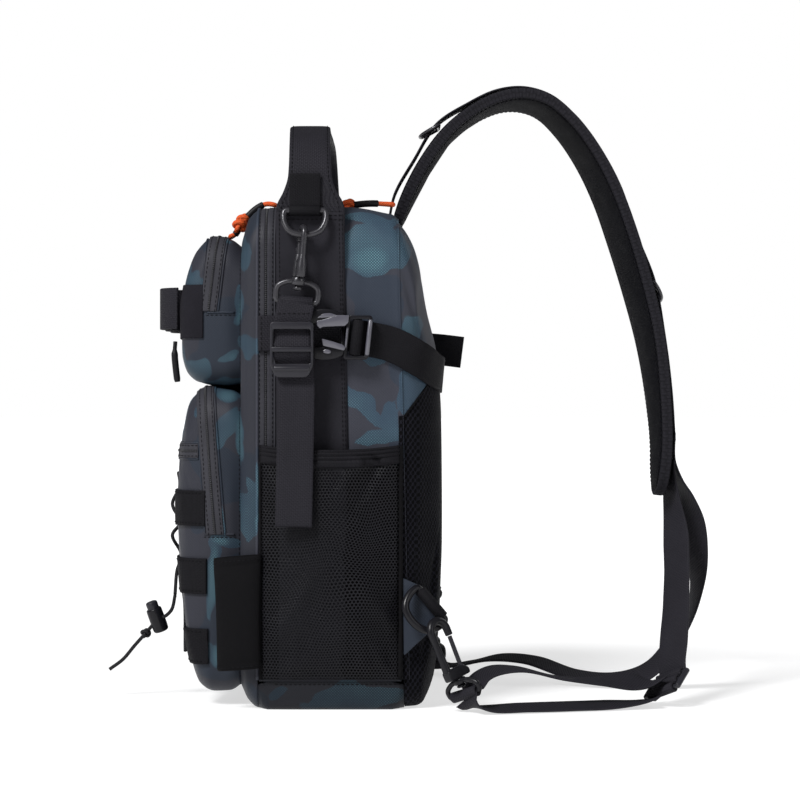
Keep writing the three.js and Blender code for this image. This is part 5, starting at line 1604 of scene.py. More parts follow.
# Slack folds of a net: start x and z, end x and z, height, width
NET_FOLDS = (
    (31, 173, 6, 128, -2.8, 6.5), (41, 173, 14, 120, 1.6, 7.0), (20, 173, -2, 136, 2.4, 5.5),
    (-49, 172, -20, 120, 2.4, 5.0), (-48, 40, -5, 106, 2.6, 6.0), (44, 60, 6, 104, 3.0, 6.0),
    (-30, 24, -20, 80, 2.6, 4.5), (24, 24, 12, 76, 2.6, 4.5), (40, 24, 20, 60, 3.2, 4.5),
    (46, 45, 30, 26, -2.6, 3.5),
)


def net_place(x, z, side, lift=0.0):
    """A place on a slack side net."""
    t = min(max((x - NET_FRONT) / (NET_BACK - NET_FRONT), 0), 1)
    bow = np.interp(z, *zip(*NET_BOW))
    belly = math.sin(math.pi * t) ** 0.6 * 15 * bow
    fold = 0.0
    for x0, z0, x1, z1, high, wide in NET_FOLDS:
        dx, dz = x1 - x0, z1 - z0
        along = ((x - x0) * dx + (z - z0) * dz) / (dx * dx + dz * dz)
        off = abs((x - x0) * dz - (z - z0) * dx) / math.hypot(dx, dz)
        fade = max(0.0, 1 - along) * (along > -0.05)
        fold += high * math.exp(-(off / wide) ** 2) * fade
    quiet = min(t, 1 - t) / 0.12
    return x, side * (123.3 + belly + lift + (fold - 1.0) * min(quiet, 1) * min(bow * 2, 1)), z


def net_sheet(side, pitch):
    """Triangles over a net, whose meeting points become its holes."""
    wide, high = NET_BACK - NET_FRONT, POCKET_TOP - 8 - NET_FOOT
    columns, rows = int(wide / pitch * 1.12), int(high / (pitch * 0.74))
    points, faces = [], []
    for j in range(rows + 1):
        for i in range(columns + 1):
            share, rise = (i + 0.5 * (j % 2)) / (columns + 0.5), j / rows
            x, z = NET_FRONT + wide * min(share, 1), NET_FOOT + high * rise
            slack = 5 * min(share, 1 - share, rise, 1 - rise, 0.3) / 0.3 if 0 < share < 1 else 0
            drift = noise.noise_vector(Vector((x / 26, side * 3, z / 26))) * slack
            points.append(net_place(x + drift.x, z + drift.z, side))
    for j in range(rows):
        for i in range(columns):
            a = j * (columns + 1) + i
            b, c, d = a + 1, a + columns + 1, a + columns + 2
            faces += [(a, b, c), (b, d, c)] if j % 2 == 0 else [(a, d, c), (a, b, d)]
    maps = [tuple((points[k][0], points[k][2]) for k in face) for face in faces]
    return Shape(np.array(points), faces, maps)


def net_tree():
    """Turns a sheet of triangles into a net with six-sided holes."""
    tree, start, end = new_tree("Open net", "GeometryNodeTree", [
        ("Sheet", GEOMETRY), ("Hole share", NUMBER)], [("Net", GEOMETRY)])
    cells = link(tree, "GeometryNodeDualMesh", {"Mesh": start.outputs["Sheet"]})
    raised = link(tree, "GeometryNodeExtrudeMesh", {
        "Mesh": cells.outputs[0], "Offset Scale": 0.0, "Individual": True})
    opening = {"Geometry": raised.outputs["Mesh"], "Selection": raised.outputs["Top"]}
    shrunk = link(tree, "GeometryNodeScaleElements",
                  {**opening, "Scale": start.outputs["Hole share"]}, domain="FACE")
    opening["Geometry"] = shrunk.outputs[0]
    cut = link(tree, "GeometryNodeDeleteGeometry", opening, domain="FACE")
    real = link(tree, "GeometryNodeRealizeInstances", {"Geometry": cut.outputs[0]})
    return dress(tree, end, real, "Net thread")


# The hem across its folds: height and how far it stands out
HEM_RISE = (
    (169.6, 0.5), (170.3, 1.5), (174.6, 1.7), (175.2, 0.8), (175.8, 1.9), (177.4, 1.9), (178.0, 0.8),
    (178.6, 1.9), (180.2, 1.9), (180.8, 0.8), (181.4, 1.8), (182.4, 1.2), (182.5, 0.3),
)


def hem_place(x, z, rise, side):
    """A place on the elastic hem of a net, which sags between its ends."""
    share = abs(2 * (x - NET_FRONT) / (NET_BACK - NET_FRONT) - 1)
    x, y, z = net_place(x, z, side, rise)
    return x, y, z + 3.2 * share ** 2.2


def laid_cloth(name, rows, side, finish, columns, thick, node=None):
    """A sheet through rows of points on a side of the bag, with its map and thickness."""
    piece = make(name, grid_shape(rows if side == NEAR else rows[::-1]), finish, closed=False)
    return carry(thicken(set_map(piece, columns), thick), node)


class BuildSides(bpy.types.Operator):
    """Black bands and slack net pockets on both sides"""

    bl_idname = "bag.sides"
    bl_label = "Bands and nets"

    def execute(self, context):
        sizes = context.scene.bag_sizes
        tree = net_tree()
        for side, word in SIDES:
            band = laid_cloth(f"side_band_{word}_cloth", band_rows(side), side, "Side band cloth", SIDE_MAP,
                              1.2, f"side_band_{word}")
            for front, inset in ((True, 3.4), (False, 1.3), (False, 3.6)):
                line = [(ZIP_BACK + inset if front else band_edge(z) - inset, side * 126, z)
                        for z in np.linspace(POCKET_TOP - 6, BAND_TOP - 2, 120)]
                stitch_on(band, line)
            # A black sheet just behind each net, over the cloth that is really there: painted shade inside
            # the pocket
            lining = [side_line(side, np.linspace(NET_FRONT, NET_BACK, 30), z, 1.7)
                      for z in np.linspace(BASE_TOP + 1, POCKET_TOP - 10, 40)]
            laid_cloth(f"pocket_lining_{word}", lining, side, "Elastic", SIDE_MAP, 0.6)
            net = make(f"net_{word}", net_sheet(side, sizes.net_pitch / MM), "Net thread", closed=False)
            run_tree(net, tree, {"Hole share": sizes.net_hole})
            settle(thicken(net, 0.5, 0.0))
            carry(net, f"mesh_pocket_{word}")
            xs = np.linspace(NET_FRONT, NET_BACK, 70)
            rows = [[hem_place(x, z, rise, side) for x in xs] for z, rise in HEM_RISE]
            hem = laid_cloth(f"net_hem_{word}", rows, side, "Hem tape", TURNED_MAP, 1.0)
            for number, (x, radius) in enumerate(((NET_FRONT + 0.6, 0.9), (NET_BACK + 0.4, 1.8))):
                line = [net_place(x, z, side, 0.2) for z in np.linspace(BASE_TOP + 1, POCKET_TOP + 3, 60)]
                piping(f"net_edge_{word}_{number + 1}", line, radius, "Elastic")
        return {"FINISHED"}


SLEEVE_AT = (-68, -122.3)
SLEEVE_SIZE = (17.5, 6.5)
SLEEVE_TURN = -0.34
# Rise of the tool sleeve and how much it gives in or out there, outside and then inside
SLEEVE_PROFILE = (
    (28.3, -0.6), (28.9, 0), (32, 0.2), (33, -0.2), (34, 0.1), (50, -0.3), (68, -0.5), (86, -0.3), (101, 0.1),
    (102, -0.2), (103, 0.2), (107.1, 0), (107.7, -0.6), (107.7, -1.3), (99, -1.6), (36, -1.6), (28.3, -1.3),
)


class BuildToolSleeve(bpy.types.Operator):
    """Elastic tool sleeve on the near side"""

    bl_idname = "bag.tool_sleeve"
    bl_label = "Tool sleeve"

    def execute(self, context):
        turn = full_turn(72)
        c, s = math.cos(SLEEVE_TURN), math.sin(SLEEVE_TURN)
        foot, rim = SLEEVE_PROFILE[0][0], SLEEVE_PROFILE[12][0]
        rings = []
        for z, give in SLEEVE_PROFILE:
            low = (rim - z) / (rim - foot)
            a = (SLEEVE_SIZE[0] + give + 0.3 - 1.9 * low) * np.cos(turn)
            b = (SLEEVE_SIZE[1] + give) * np.sin(turn)
            x, y = SLEEVE_AT[0] + 1.2 + low + a * c - b * s, SLEEVE_AT[1] + a * s + b * c
            rings.append(np.stack([x, y, z + 0.1 * (x - SLEEVE_AT[0])], 1))
        piece = sewn("tool_sleeve_elastic", loft(rings, loop=True), "Elastic", "tool_sleeve")
        for k, z in ((4, 30.5), (10, 104.8)):
            stitch_on(piece, rings[k] + (0, 0, z - SLEEVE_PROFILE[k][0]), closed=True)
        return {"FINISHED"}


# Carry handle, from its foot to its top: x, half of y, z, width and thickness
HANDLE_HALF = (
    (-15.8, 122.9, 322, 47, 2.4), (-15.8, 122.9, 353, 47, 2.4), (-16, 122.4, 363, 37, 3),
    (-16, 121.4, 371, 31.5, 4), (-16, 119.5, 379, 30, 5), (-16.4, 107, 397, 29, 6), (-17, 84, 408, 29, 6),
    (-18, 45, 413, 29, 6),
)
HANDLE_TOP = (-18.6, 0, 414, 29, 6)


class BuildHandle(bpy.types.Operator):
    """Padded carry handle over the top"""

    bl_idname = "bag.handle"
    bl_label = "Carry handle"

    def execute(self, context):
        halves = [(x, -y, z, 1, 0, 0, wide, thick) for x, y, z, wide, thick in HANDLE_HALF]
        x, y, z, wide, thick = HANDLE_TOP
        rows = halves + [(x, y, z, 1, 0, 0, wide, thick)]
        rows += [(x, -y, z, a, b, c, wide, thick) for x, y, z, a, b, c, wide, thick in reversed(halves)]
        shape, path, across, out = ribbon(rows, 2.5, 5.0, 36)
        sewn("handle_band", shape, "Webbing", "carry_handle")
        for share in (-0.42, 0.42):
            line = path[:, :3] + across * path[:, 6:7] * share
            outside = unit(out * np.sign((out * (path[:, :3] - (-16, 0, 330))).sum(1, keepdims=True)))
            stitch(line + outside * path[:, 7:8] * 0.5, outside)
        for side in (NEAR, FAR):
            for z in (343, 346):
                stitch([(x, side * (BAND_OVER + 0.2), z) for x in np.linspace(-37, 5, 30)], (0, side, 0))
        return {"FINISHED"}


# Hardware

RING_SIDE = ((0.3, 0), (0.72, 0), (0.95, -0.02), (1.02, -0.2), (0.96, -0.52), (0.72, -0.84), (0.3, -0.99))


def mirrored_wire(right, wire):
    """A closed wire through places on its right half and their mirror images."""
    left = [(-x, y, z) for x, y, z in reversed(right)]
    return sweep(smooth_path(right + left, 0.8, True), wire, 14, True)


def ring_wire(width, depth, wire):
    """A D-shaped ring with a straight bar above its bow."""
    return mirrored_wire([(x * width / 2, 0, z * depth) for x, z in RING_SIDE], wire / 2)


def eye_wire(crown, bar, wire):
    """The arch of a swivel eye, down to a straight bar for the strap."""
    side = ((0.15, crown), (0.6, crown - 1), (0.97, crown - 4.6), (1, bar + 3), (0.92, bar), (0.35, bar))
    return mirrored_wire([(x * 14.6, 0, z) for x, z in side], wire)


def arch(middle, radius, start, finish):
    """Points of a hook's bow: up one leg, round, and down to the gate."""
    points = [(middle - radius, 0, z) for z in np.linspace(start, -1, 6)]
    for angle in np.linspace(math.pi, 0, 19):
        points.append((middle + radius * math.cos(angle), 0, radius * math.sin(angle)))
    return points + [(middle + radius, 0, z) for z in np.linspace(-1, finish, 3)]


def hardware(name, finish, shapes, node=None, edge=0.0, matrix=None, body="bag"):
    """A moulded or cast piece with softened edges."""
    if matrix is not None:
        shapes = [placed(shape, matrix) for shape in shapes]
    piece = make(name, shapes, finish)
    if edge:
        soften(piece, edge)
    carry(piece, node, body)


SIDE_RING_AT = (-19.3, -128.4, 349)
SIDE_HOOK = matrix_of((-19.3, -139.4, 331.2), (0.09, "Y"), (math.radians(106), "Z"))
SIDE_EYE = SIDE_HOOK @ matrix_of((5.5, 0, 0), (-math.radians(106), "Z"))
# The ring's cloth tab: y and rise above the ring
RING_TAB = ((-127.4, 1), (-125.9, 8), (-125.4, 26))
# Upper hook in its own frame: shell outline, then turned parts as pairs of distance and radius
HOOK_SHELL = ((-2.6, -29), (13.8, -29), (13.8, -18.4), (9, -17), (3, -15.4), (-2.6, -15))
HOOK_BARREL = ((-29.4, 2.4), (-28.6, 3.3), (-20, 3.3), (-16.4, 2.7), (-13, 2.3))
HOOK_POST = ((-38.4, 2.2), (-38.2, 3.1), (-37.6, 3.3), (-36, 3.3), (-35.5, 2.0), (-28, 2.0))
HOOK_BOLT = ((-21, 1.75), (-5, 1.75), (-4.4, 1.2))
HOOK_KNOB = ((0, 1.3), (2.6, 1.3), (3, 1.7), (4.1, 1.7), (4.5, 1.2))
LADDER_X = -27.9
LADDER_RIM = ((-11, 232.6), (11, 232.6), (15, 241), (15, 271), (-15, 271), (-15, 241))
LADDER_WINDOW = ((-13.1, 242), (13.1, 242), (13.1, 266), (-13.1, 266))
LADDER_BAR = ((-12.6, 1.6), (-12, 2.4), (12, 2.4), (12.6, 1.6))
# The hanging strap: y, z and how far it strays from the ladder lock's x
HANG_ROWS = (
    (-137, 285, 2.9), (-138.2, 277, 1.4), (-138.5, 266.3, 0), (-140.4, 260, 0), (-142.4, 255, 0),
    (-142.5, 252, 0), (-142.4, 249, 0), (-140.4, 245.5, 0.8), (-138.5, 241.2, 1.8), (-138.5, 231, 2.8),
    (-139.4, 224, 3), (-141.2, 200, 2.7), (-142, 160, 1.9), (-143, 129, 1.3),
)


class BuildHanger(bpy.types.Operator):
    """Ring, swivel snap hook, hanging strap and ladder lock on the near side"""

    bl_idname = "bag.hanger"
    bl_label = "Side hanger"

    def execute(self, context):
        x, y, z = SIDE_RING_AT
        tab = strap([(x, off, z + rise, 1, 0, 0) for off, rise in RING_TAB], 21.6, 1.5)
        loop = sleeve((x - 10.8, y, z), (x + 10.8, y, z), 1.75)
        sewn("ring_loop", [loop, tab], "Dark webbing", "dring_loop")
        seat = matrix_of(SIDE_RING_AT, (-0.33, "X"))
        hardware("ring_side", "Dark metal", [ring_wire(29, 18, 4.4)], "side_dring", matrix=seat)
        bow = smooth_path(arch(5.5, 5.5, -20, -4), 0.7)
        thick = np.interp(bow[:, 2], [-20, -6, 5.5], [2.5, 2.1, 2.2])
        shapes = [sweep(bow, thick, 16), slab(rounded(HOOK_SHELL, 2.2), 4, place=(0, 2, 0))]
        shapes.append(lathe(HOOK_POST, (5.5, 0, 0)))
        shapes += [lathe(HOOK_BARREL, (at, 0, 0)) for at in (-0.2, 11)]
        hardware("hook_side", "Dark metal", shapes, "side_hook", 0.7, SIDE_HOOK)
        bolt = [lathe(HOOK_BOLT, (11, 0, 0)), lathe(HOOK_KNOB, (11, 0, -9.5), (1, 0, 0))]
        hardware("hook_side_bolt", "Dark metal", bolt, "side_hook_gate", 0.2, SIDE_HOOK, "side_hook_gate")
        eye = [eye_wire(-32.2, -46, 2.0), tube_wall((0, 0, -34.9), (0, 0, -29.4), 2.45, 4.9)]
        hardware("hook_side_eye", "Dark metal", eye, "side_hook_eye", matrix=SIDE_EYE)
        rows = [(LADDER_X + stray, y, z, 1, 0, 0) for y, z, stray in HANG_ROWS]
        ends = carried_points(SIDE_EYE, [(-11.5, 0, -46), (11.5, 0, -46)])
        hang = [strap(rows, 25.6, wave=0.5, seed=4.0), sleeve(*ends, 1.6)]
        hanging = sewn("hanging_strap", hang, "Webbing", "hang_strap")
        stitch_on(hanging, [(LADDER_X + 1.4 + u, -141, 277) for u in np.linspace(-10, 10, 12)])
        lock = [slab(rounded(LADDER_RIM, 3), 4.6, [rounded(LADDER_WINDOW, 1.5)], (LADDER_X, -139.9, 0))]
        for y in (-144.9, -140.2):
            lock.append(box_shape((LADDER_X - 14, y, 250.3), (LADDER_X + 14, y + 1.4, 253.7)))
        for x in (LADDER_X - 13.9, LADDER_X + 13.9):
            lock.append(box_shape((x - 0.9, -143.9, 249.8), (x + 0.9, -138.8, 254.2)))
        lock.append(lathe(LADDER_BAR, (LADDER_X, -142.9, 238.6), (1, 0, 0)))
        hardware("ladder_frame", "Moulded plastic", lock, "ladder_lock", 0.6)
        return {"FINISHED"}


STRAP_LOW, STRAP_HIGH = 251.0, 276.0
BUCKLE_Y = -127.6
BUCKLE_Z = 262.5
# Middle height and lean of the buckle's inserted half
MALE_Z = 260.4
MALE_LEAN = 0.11
# Outlines about the buckle's middle: its outer half and that half's window
FEMALE_RIM = (
    (-22, -12), (-20.5, -15), (-8, -18), (1, -17.4), (7.9, -14.5),
    (7.9, 14.5), (1, 17.4), (-8, 18), (-20.5, 15), (-22, 12),
)
FEMALE_MOUTH = ((-14, -9), (6.4, -7.2), (7, 7), (-14, 8))
# Outlines of the sprung arms that show in the buckle, made in a lighter copy of the plastic as painted
# highlight
BUCKLE_ARMS = (
    ((-10.9, 9.5), (-6.4, 10.3), (3.2, 13.5), (11.6, 13.3), (11.3, 8.4), (9, 5.9), (-6.5, 5.2), (-8.6, 3.9),
     (-10.6, 6)),
    ((-7.2, -2.9), (0, -4.8), (7.4, -7.2), (9.1, -9.3), (8.2, -11.2), (-6.4, -7.8)),
    ((-10.5, 11.5), (-6.4, 14.4), (-1.6, 14.9), (2.9, 13.6), (1.4, 12.2), (-3, 11.8)),
    ((-6.4, -10.9), (-4.2, -10.1), (-1.1, -11.1), (-1, -12.9), (-2.6, -13.5), (-6.1, -13)),
)
MALE_BAR = ((-14, 2.0), (-13.6, 2.2), (13.6, 2.2), (14, 2.0))
REAR_ROWS = (
    (20.4, -130.9, 260.3, 0.1, 0, 1), (23, -128.6, 259.8, 0.1, 0, 1), (25, -126.4, 259.4, 0.11, 0, 1),
    (31, -125.6, 258.4, 0.14, 0, 1), (40, -124.4, 256.2, 0.3, 0, 0.95), (50, -123.6, 251.8, 0.46, 0, 0.87),
    (58, -121.6, 247.1, 0.5, 0, 0.86), (65, -115.2, 243, 0.45, 0.2, 0.86),
    (70.6, -105, 239, 0.3, 0.2, 0.9), (75.6, -92, 236, 0.2, 0.2, 0.93), (77.4, -78, 234, 0.1, 0.2, 0.95),
)
FAR_ROWS = (
    (30, 124.7, 262.5, 0, 0, 1), (48, 123.4, 260.5, 0, 0, 1), (64, 121, 258, 0, 0, 1),
    (80, 118, 256.5, 0, 0, 1), (96, 116, 254.5, 0, 0, 1),
)
FAR_BUCKLE_RIM = ((-18, 247), (22, 247), (22, 280), (-18, 280))


def level_strap(start, end, side):
    """Webbing laid level along a side of the body."""
    lift = 2.2 + bpy.context.scene.bag_sizes.webbing / MM / 2
    line = side_line(side, np.linspace(start, end, 9), BUCKLE_Z + 1, lift)
    return strap([(*place, 0, 0, 1) for place in line], STRAP_HIGH - STRAP_LOW, wave=0.2, seed=13.0)


def at_buckle(corners, radius):
    """A rounded outline set at the height of the buckle."""
    return rounded([(x, z + BUCKLE_Z) for x, z in corners], radius)


def leaning_frame(back, front, high, radius):
    """An outline of the buckle's inserted half, which leans."""
    corners = ((back, -high), (front, -high), (front, high), (back, high))
    return rounded([(x + MALE_LEAN * z, z + MALE_Z) for x, z in corners], radius)


class BuildCompression(bpy.types.Operator):
    """Compression straps with their fastened buckles"""

    bl_idname = "bag.compression"
    bl_label = "Compression straps"

    def execute(self, context):
        sewn("compression_front", level_strap(ZIP_FRONT + 0.4, 12, NEAR), "Webbing", "compress_front")
        for x in (ZIP_FRONT + 2.5, -27.5):
            stitch([(x, -side_y(x, z, 4.0), z) for z in np.linspace(253, 274, 10)], (0, -1, 0))
        shell = slab(at_buckle(FEMALE_RIM, 3), 7.4, [at_buckle(FEMALE_MOUTH, 3)], (0, BUCKLE_Y, 0))
        hardware("buckle_shell", "Glossy plastic", [shell], "buckle_female", 0.9)
        # The arms are in the lighter plastic: painted highlight
        for number, arm in enumerate(BUCKLE_ARMS):
            raised = slab(at_buckle(arm, 0.7), 3.6, place=(0, BUCKLE_Y - 5.6, 0))
            hardware(f"buckle_arm_{number + 1}", "Bright plastic", [raised], edge=0.6)
        window = leaning_frame(11.2, 24.3, 12.8, 1.2)
        inserted = [slab(leaning_frame(9, 26.6, 15.4, 3), 6.6, [window], (0, BUCKLE_Y, 0))]
        lean = (MALE_LEAN, 0, 1)
        inserted.append(lathe(MALE_BAR, (17, BUCKLE_Y - 3.3, MALE_Z), lean))
        for z in (BUCKLE_Z - 11.6, BUCKLE_Z + 11.6):
            inserted.append(box_shape((0, BUCKLE_Y - 5.6, z - 1.7), (9, BUCKLE_Y - 2.2, z + 1.7)))
        hardware("buckle_prongs", "Glossy plastic", inserted, "buckle_male", 0.9)
        # Rods on the rails of the inserted half, in the lighter plastic: painted highlights
        for name, x, high, wide in (("buckle_lip", 25.3, 12.6, 1.6), ("buckle_edge", 9.9, 7.4, 0.8)):
            rod = [(-high, wide * 0.6), (1 - high, wide), (high - 1, wide), (high, wide * 0.6)]
            hardware(name, "Bright plastic", [lathe(rod, (x, BUCKLE_Y - 6.2, MALE_Z), lean)])
        ends = [(17 + MALE_LEAN * z, BUCKLE_Y - 3.3, MALE_Z + z) for z in (-12.3, 12.3)]
        rear = [sleeve(*ends, 2.2), strap(REAR_ROWS, 24.4, 1.5, 0.2, 17.0)]
        sewn("compression_rear", rear, "Dark webbing", "compress_rear")
        far = [level_strap(ZIP_FRONT + 0.4, 30.5, FAR), strap(FAR_ROWS, 24.6, wave=0.2, seed=19.0)]
        sewn("compression_far", far, "Dark webbing", "compress_far")
        shapes = [slab(rounded(FAR_BUCKLE_RIM, 5), 7, place=(0, 133.5, 0))]
        shapes += [box_shape((-14 + 3 * k, 133, 252), (-12.4 + 3 * k, 134.2, 275)) for k in range(4)]
        shapes.append(box_shape((4, 133, 250), (5, 134, 277)))
        hardware("buckle_far_shell", "Glossy plastic", shapes, "buckle_far", 1.2)
        return {"FINISHED"}


# Shoulder strap

# The pad along its length: place, width, thickness and twist in degrees
SHOULDER = (
    (45, 0, 348, 46, 10, 0), (52, 0, 366, 56, 12, 0), (65, 0, 391, 62, 12.5, 0), (82, 0, 414, 64, 12.5, 0),
    (102, 0, 430, 64, 12.5, 1), (121, 0, 438.5, 64, 12.5, 2), (138, 0, 440, 64, 12.5, 4),
    (154, 0, 435, 64, 12.5, 6), (170, 0, 421, 64, 12.5, 8), (186.5, -1, 398, 64, 12.5, 9.5),
    (200.5, -2, 370, 64, 12.5, 10.5), (212, -3, 338, 64, 12.5, 11), (223, -5, 301, 62, 12.5, 11),
    (232, -7, 264, 60, 12.5, 10),
    (237.5, -9, 226, 56, 12.5, 8), (240.3, -12, 186, 50, 12.5, 6), (239.7, -13.6, 168, 45, 12.2, 5),
    (238.9, -14.6, 156.5, 36, 11, 4), (238.3, -15, 151, 24, 8.5, 4), (238, -15.2, 148.2, 9, 5, 4),
)
PAD_WEBBING_LIFT = (0, 2, 0.8, 3, 0, 0, 0, 0, 0, 0.5, 1.0, 0, 3, 0.6, 0, 0)
PAD_SIDES = 44
# Points of each ring of the pad that its binding holds
PAD_HELD = (0, 1, 21, 22, 23, 43)
# Rings of the pad's webbing: word and row of the pad
PAD_RINGS = (("upper", 3), ("lower", 12))


def shoulder_rows():
    """Place, direction along, direction across and outward way of each row of the pad."""
    places_along = np.array([row[:3] for row in SHOULDER], float)
    found = []
    for i, row in enumerate(SHOULDER):
        after, earlier = min(i + 1, len(SHOULDER) - 1), max(i - 1, 0)
        along = Vector(places_along[after] - places_along[earlier]).normalized()
        level = (Vector((0, 1, 0)) - along * along.y).normalized()
        across = Matrix.Rotation(-math.radians(row[5]), 3, along) @ level
        found.append((Vector(row[:3]), along, across, along.cross(across)))
    return found


class BuildShoulder(bpy.types.Operator):
    """Padded shoulder strap with its binding, webbing and rings"""

    bl_idname = "bag.shoulder"
    bl_label = "Shoulder strap"

    def execute(self, context):
        found = shoulder_rows()
        rows = [(*place, *across, row[3], row[4] - 1.5)
                for (place, _, across, _), row in zip(found, SHOULDER)]
        shape, path, across, out = ribbon(rows, 3.2, 3.2, PAD_SIDES)
        pad = make("shoulder_pad_cloth", shape, "Pad air mesh")
        inflate(pad, [i * PAD_SIDES + j for i in range(len(path)) for j in PAD_HELD], 2.0, 2.0)
        carry(subdivided(pad), "shoulder_pad")
        for number, share in enumerate((-0.5, 0.5)):
            edge = path[:, :3] + across * path[:, 6:7] * share
            tape = strap(np.hstack([edge - across * share * 3, out]), 7.5, 2.5, 0.15, 23.0 + number, 3.2)
            sewn(f"shoulder_binding_{number + 1}", tape, "Binding tape")
            line = path[:, :3] + across * (path[:, 6:7] * share - share * 9)
            for face in (-1, 1):
                stitch_on(pad, line + out * face * 5.5, 0.2)
        lifts = []
        for (place, _, across, out), row, lift in zip(found, SHOULDER, PAD_WEBBING_LIFT):
            lifts.append((*(place + out * (row[4] / 2 + 1.7 + lift)), *across))
        sewn("shoulder_webbing", strap(lifts, wave=0.15, seed=29.0), "Webbing", "pad_webbing")
        for word, station in PAD_RINGS:
            place, along, across, out = found[station]
            up = (along * math.copysign(1, along.z) - out * 0.32).normalized()
            seat = Matrix((across, up.cross(across), up)).transposed().to_4x4()
            seat.translation = place + out * (SHOULDER[station][4] / 2 + 2.6)
            ring = [ring_wire(30, 15, 3)]
            hardware(f"shoulder_ring_{word}", "Dark metal", ring, f"pad_ring_{word}", matrix=seat)
        return {"FINISHED"}


# Webbing legs: places along them and the way across
LEG_NEAR = (
    (246.6, -13.6, 172, 0.16, -0.98, 0), (246.4, -14.6, 160, 0.2, -0.98, 0), (247, -16, 148, 0.34, -0.93, 0),
    (248.4, -19, 134, 0.46, -0.88, 0), (249.6, -26, 117, 0.6, -0.79, 0), (249, -39, 94, 0.58, -0.81, 0),
    (246.8, -55, 70, 0.6, -0.8, 0), (243.4, -73, 44, 0.69, -0.7, 0.1), (241.2, -83, 28.5, 0.68, -0.67, 0.26),
    (241.5, -86.6, 20.8, 0.66, -0.67, 0.34),
)
LEG_FLOOR = (
    (92.9, -139.2, 10.2, -0.69, 0.66, -0.29), (97, -140, 5.6, -0.5, 0.85, -0.1),
    (108, -138, 2.9, -0.3, 0.95, 0.06), (134, -131, 2.9, -0.28, 0.95, 0.12), (166, -122, 3, -0.3, 0.95, 0.13),
    (196, -113, 3.2, -0.36, 0.92, 0.1), (218, -106, 4.4, -0.5, 0.85, -0.1),
    (229, -104.6, 6.4, -0.68, 0.66, -0.3),
)
LEG_LOOP = (
    (97.4, -132.8, 16.4, -0.69, 0.66, -0.29), (103, -128.4, 23.6, -0.5, 0.8, 0),
    (113, -124.6, 28.2, -0.35, 0.9, 0.12), (130, -120, 28.7, -0.3, 0.95, 0.06),
    (158, -113, 21.8, -0.28, 0.95, 0.02), (188, -106, 18.4, -0.3, 0.94, 0.12),
    (214, -101, 18.4, -0.45, 0.8, 0.38), (231.5, -96, 17.6, -0.68, 0.66, -0.3),
)
LEG_FAR = (
    (248, -11.3, 192, -0.1, 1, 0), (248.3, -12.8, 172, -0.09, 1, 0), (252.4, -13.4, 158, -0.2, 0.98, 0),
    (259, -12, 146, -0.32, 0.95, 0), (264, -8.5, 127, -0.62, 0.78, 0), (267, -3.5, 104, -0.6, 0.8, 0),
    (268, 2, 78, -0.26, 0.96, 0), (262.4, 6, 54, -0.14, 0.99, 0), (249, 10, 32, -0.2, 0.96, 0.26),
    (233, 16, 14, 0, 0.9, 0.44), (208, 28, 7.4, 0.3, 0.94, 0.24), (178, 46, 8.6, 0.45, 0.88, 0.13),
    (148, 66, 17, 0.5, 0.85, 0.12), (122, 86, 17, 0.55, 0.82, 0.14), (98, 110, 10, 0.62, 0.77, 0.12),
    (80, 131, 6, 0.7, 0.7, 0.08), (72.3, 141.6, 6.9, 0.75, 0.66, 0.09),
)
SLIDER_AT, SLIDER_PITCH = (236, -95, 15.8), 8.4
SLIDER_BAR = ((0, 1.2), (0.4, 1.6), (30.4, 1.6), (30.8, 1.2))
SLIDER_RAIL = ((0, 1.4), (0.6, 2.0), (19, 2.0), (19.6, 1.4))
SLIDER_ALONG, SLIDER_UP = (0.66, -0.67, 0.34), (0.5, 0.62, 0.57)
LOWER_HOOKS = {NEAR: ((74.2, -138.6, 56), -0.4), FAR: ((66, 142.6, 56), -0.12)}
HOOK_TURN, EYE_TURN = 0.8, -0.72
EYE_BAR, EYE_WIRE = -46.5, 1.8


def hook_frame(side, turn):
    """Where a lower hook hangs, turned about its own length."""
    place, lean = LOWER_HOOKS[side]
    return matrix_of(place, (lean, "Y"), (-side * turn, "Z"))


def eye_sleeve(side):
    """The webbing loop about a lower hook's eye."""
    ends = carried_points(hook_frame(side, EYE_TURN), [(-12, 0, EYE_BAR), (12, 0, EYE_BAR)])
    return sleeve(*ends, EYE_WIRE)


class BuildLegs(bpy.types.Operator):
    """Webbing legs of the shoulder strap and their slider"""

    bl_idname = "bag.legs"
    bl_label = "Strap legs"

    def execute(self, context):
        along = unit(SLIDER_ALONG)
        up = unit(np.asarray(SLIDER_UP) - along * along.dot(SLIDER_UP))

        def at(u, v):
            return np.asarray(SLIDER_AT) + along * u + up * v

        rungs = (-SLIDER_PITCH, 0, SLIDER_PITCH)
        bars = [lathe(SLIDER_BAR, at(-15.4, v), along, 14) for v in rungs]
        bars += [lathe(SLIDER_RAIL, at(u, -SLIDER_PITCH - 1.4), up, 14) for u in (-15.4, 15.4)]
        hardware("leg_slider", "Moulded plastic", bars, "strap_slider", 0.2)
        low, middle, high = (sleeve(at(-12, v), at(12, v), 1.6) for v in rungs)
        legs = (
            ("near", LEG_NEAR, [high]), ("loop", LEG_LOOP, [middle]),
            ("floor", LEG_FLOOR, [low, eye_sleeve(NEAR)]), ("far", LEG_FAR, [eye_sleeve(FAR)]),
        )
        for number, (word, rows, loops) in enumerate(legs):
            band = strap(rows, seed=31.0 + number)
            sewn(f"leg_{word}_webbing", [band, *loops], "Webbing", f"strap_leg_{word}")
        return {"FINISHED"}


ANCHOR_FROM, ANCHOR_TO, ANCHOR_Y = (61, 84.5), (77, 65.6), 127
# Where the anchors' cloth stands on each side
ANCHOR_FLAP_Y = {NEAR: -121.1, FAR: 123.5}
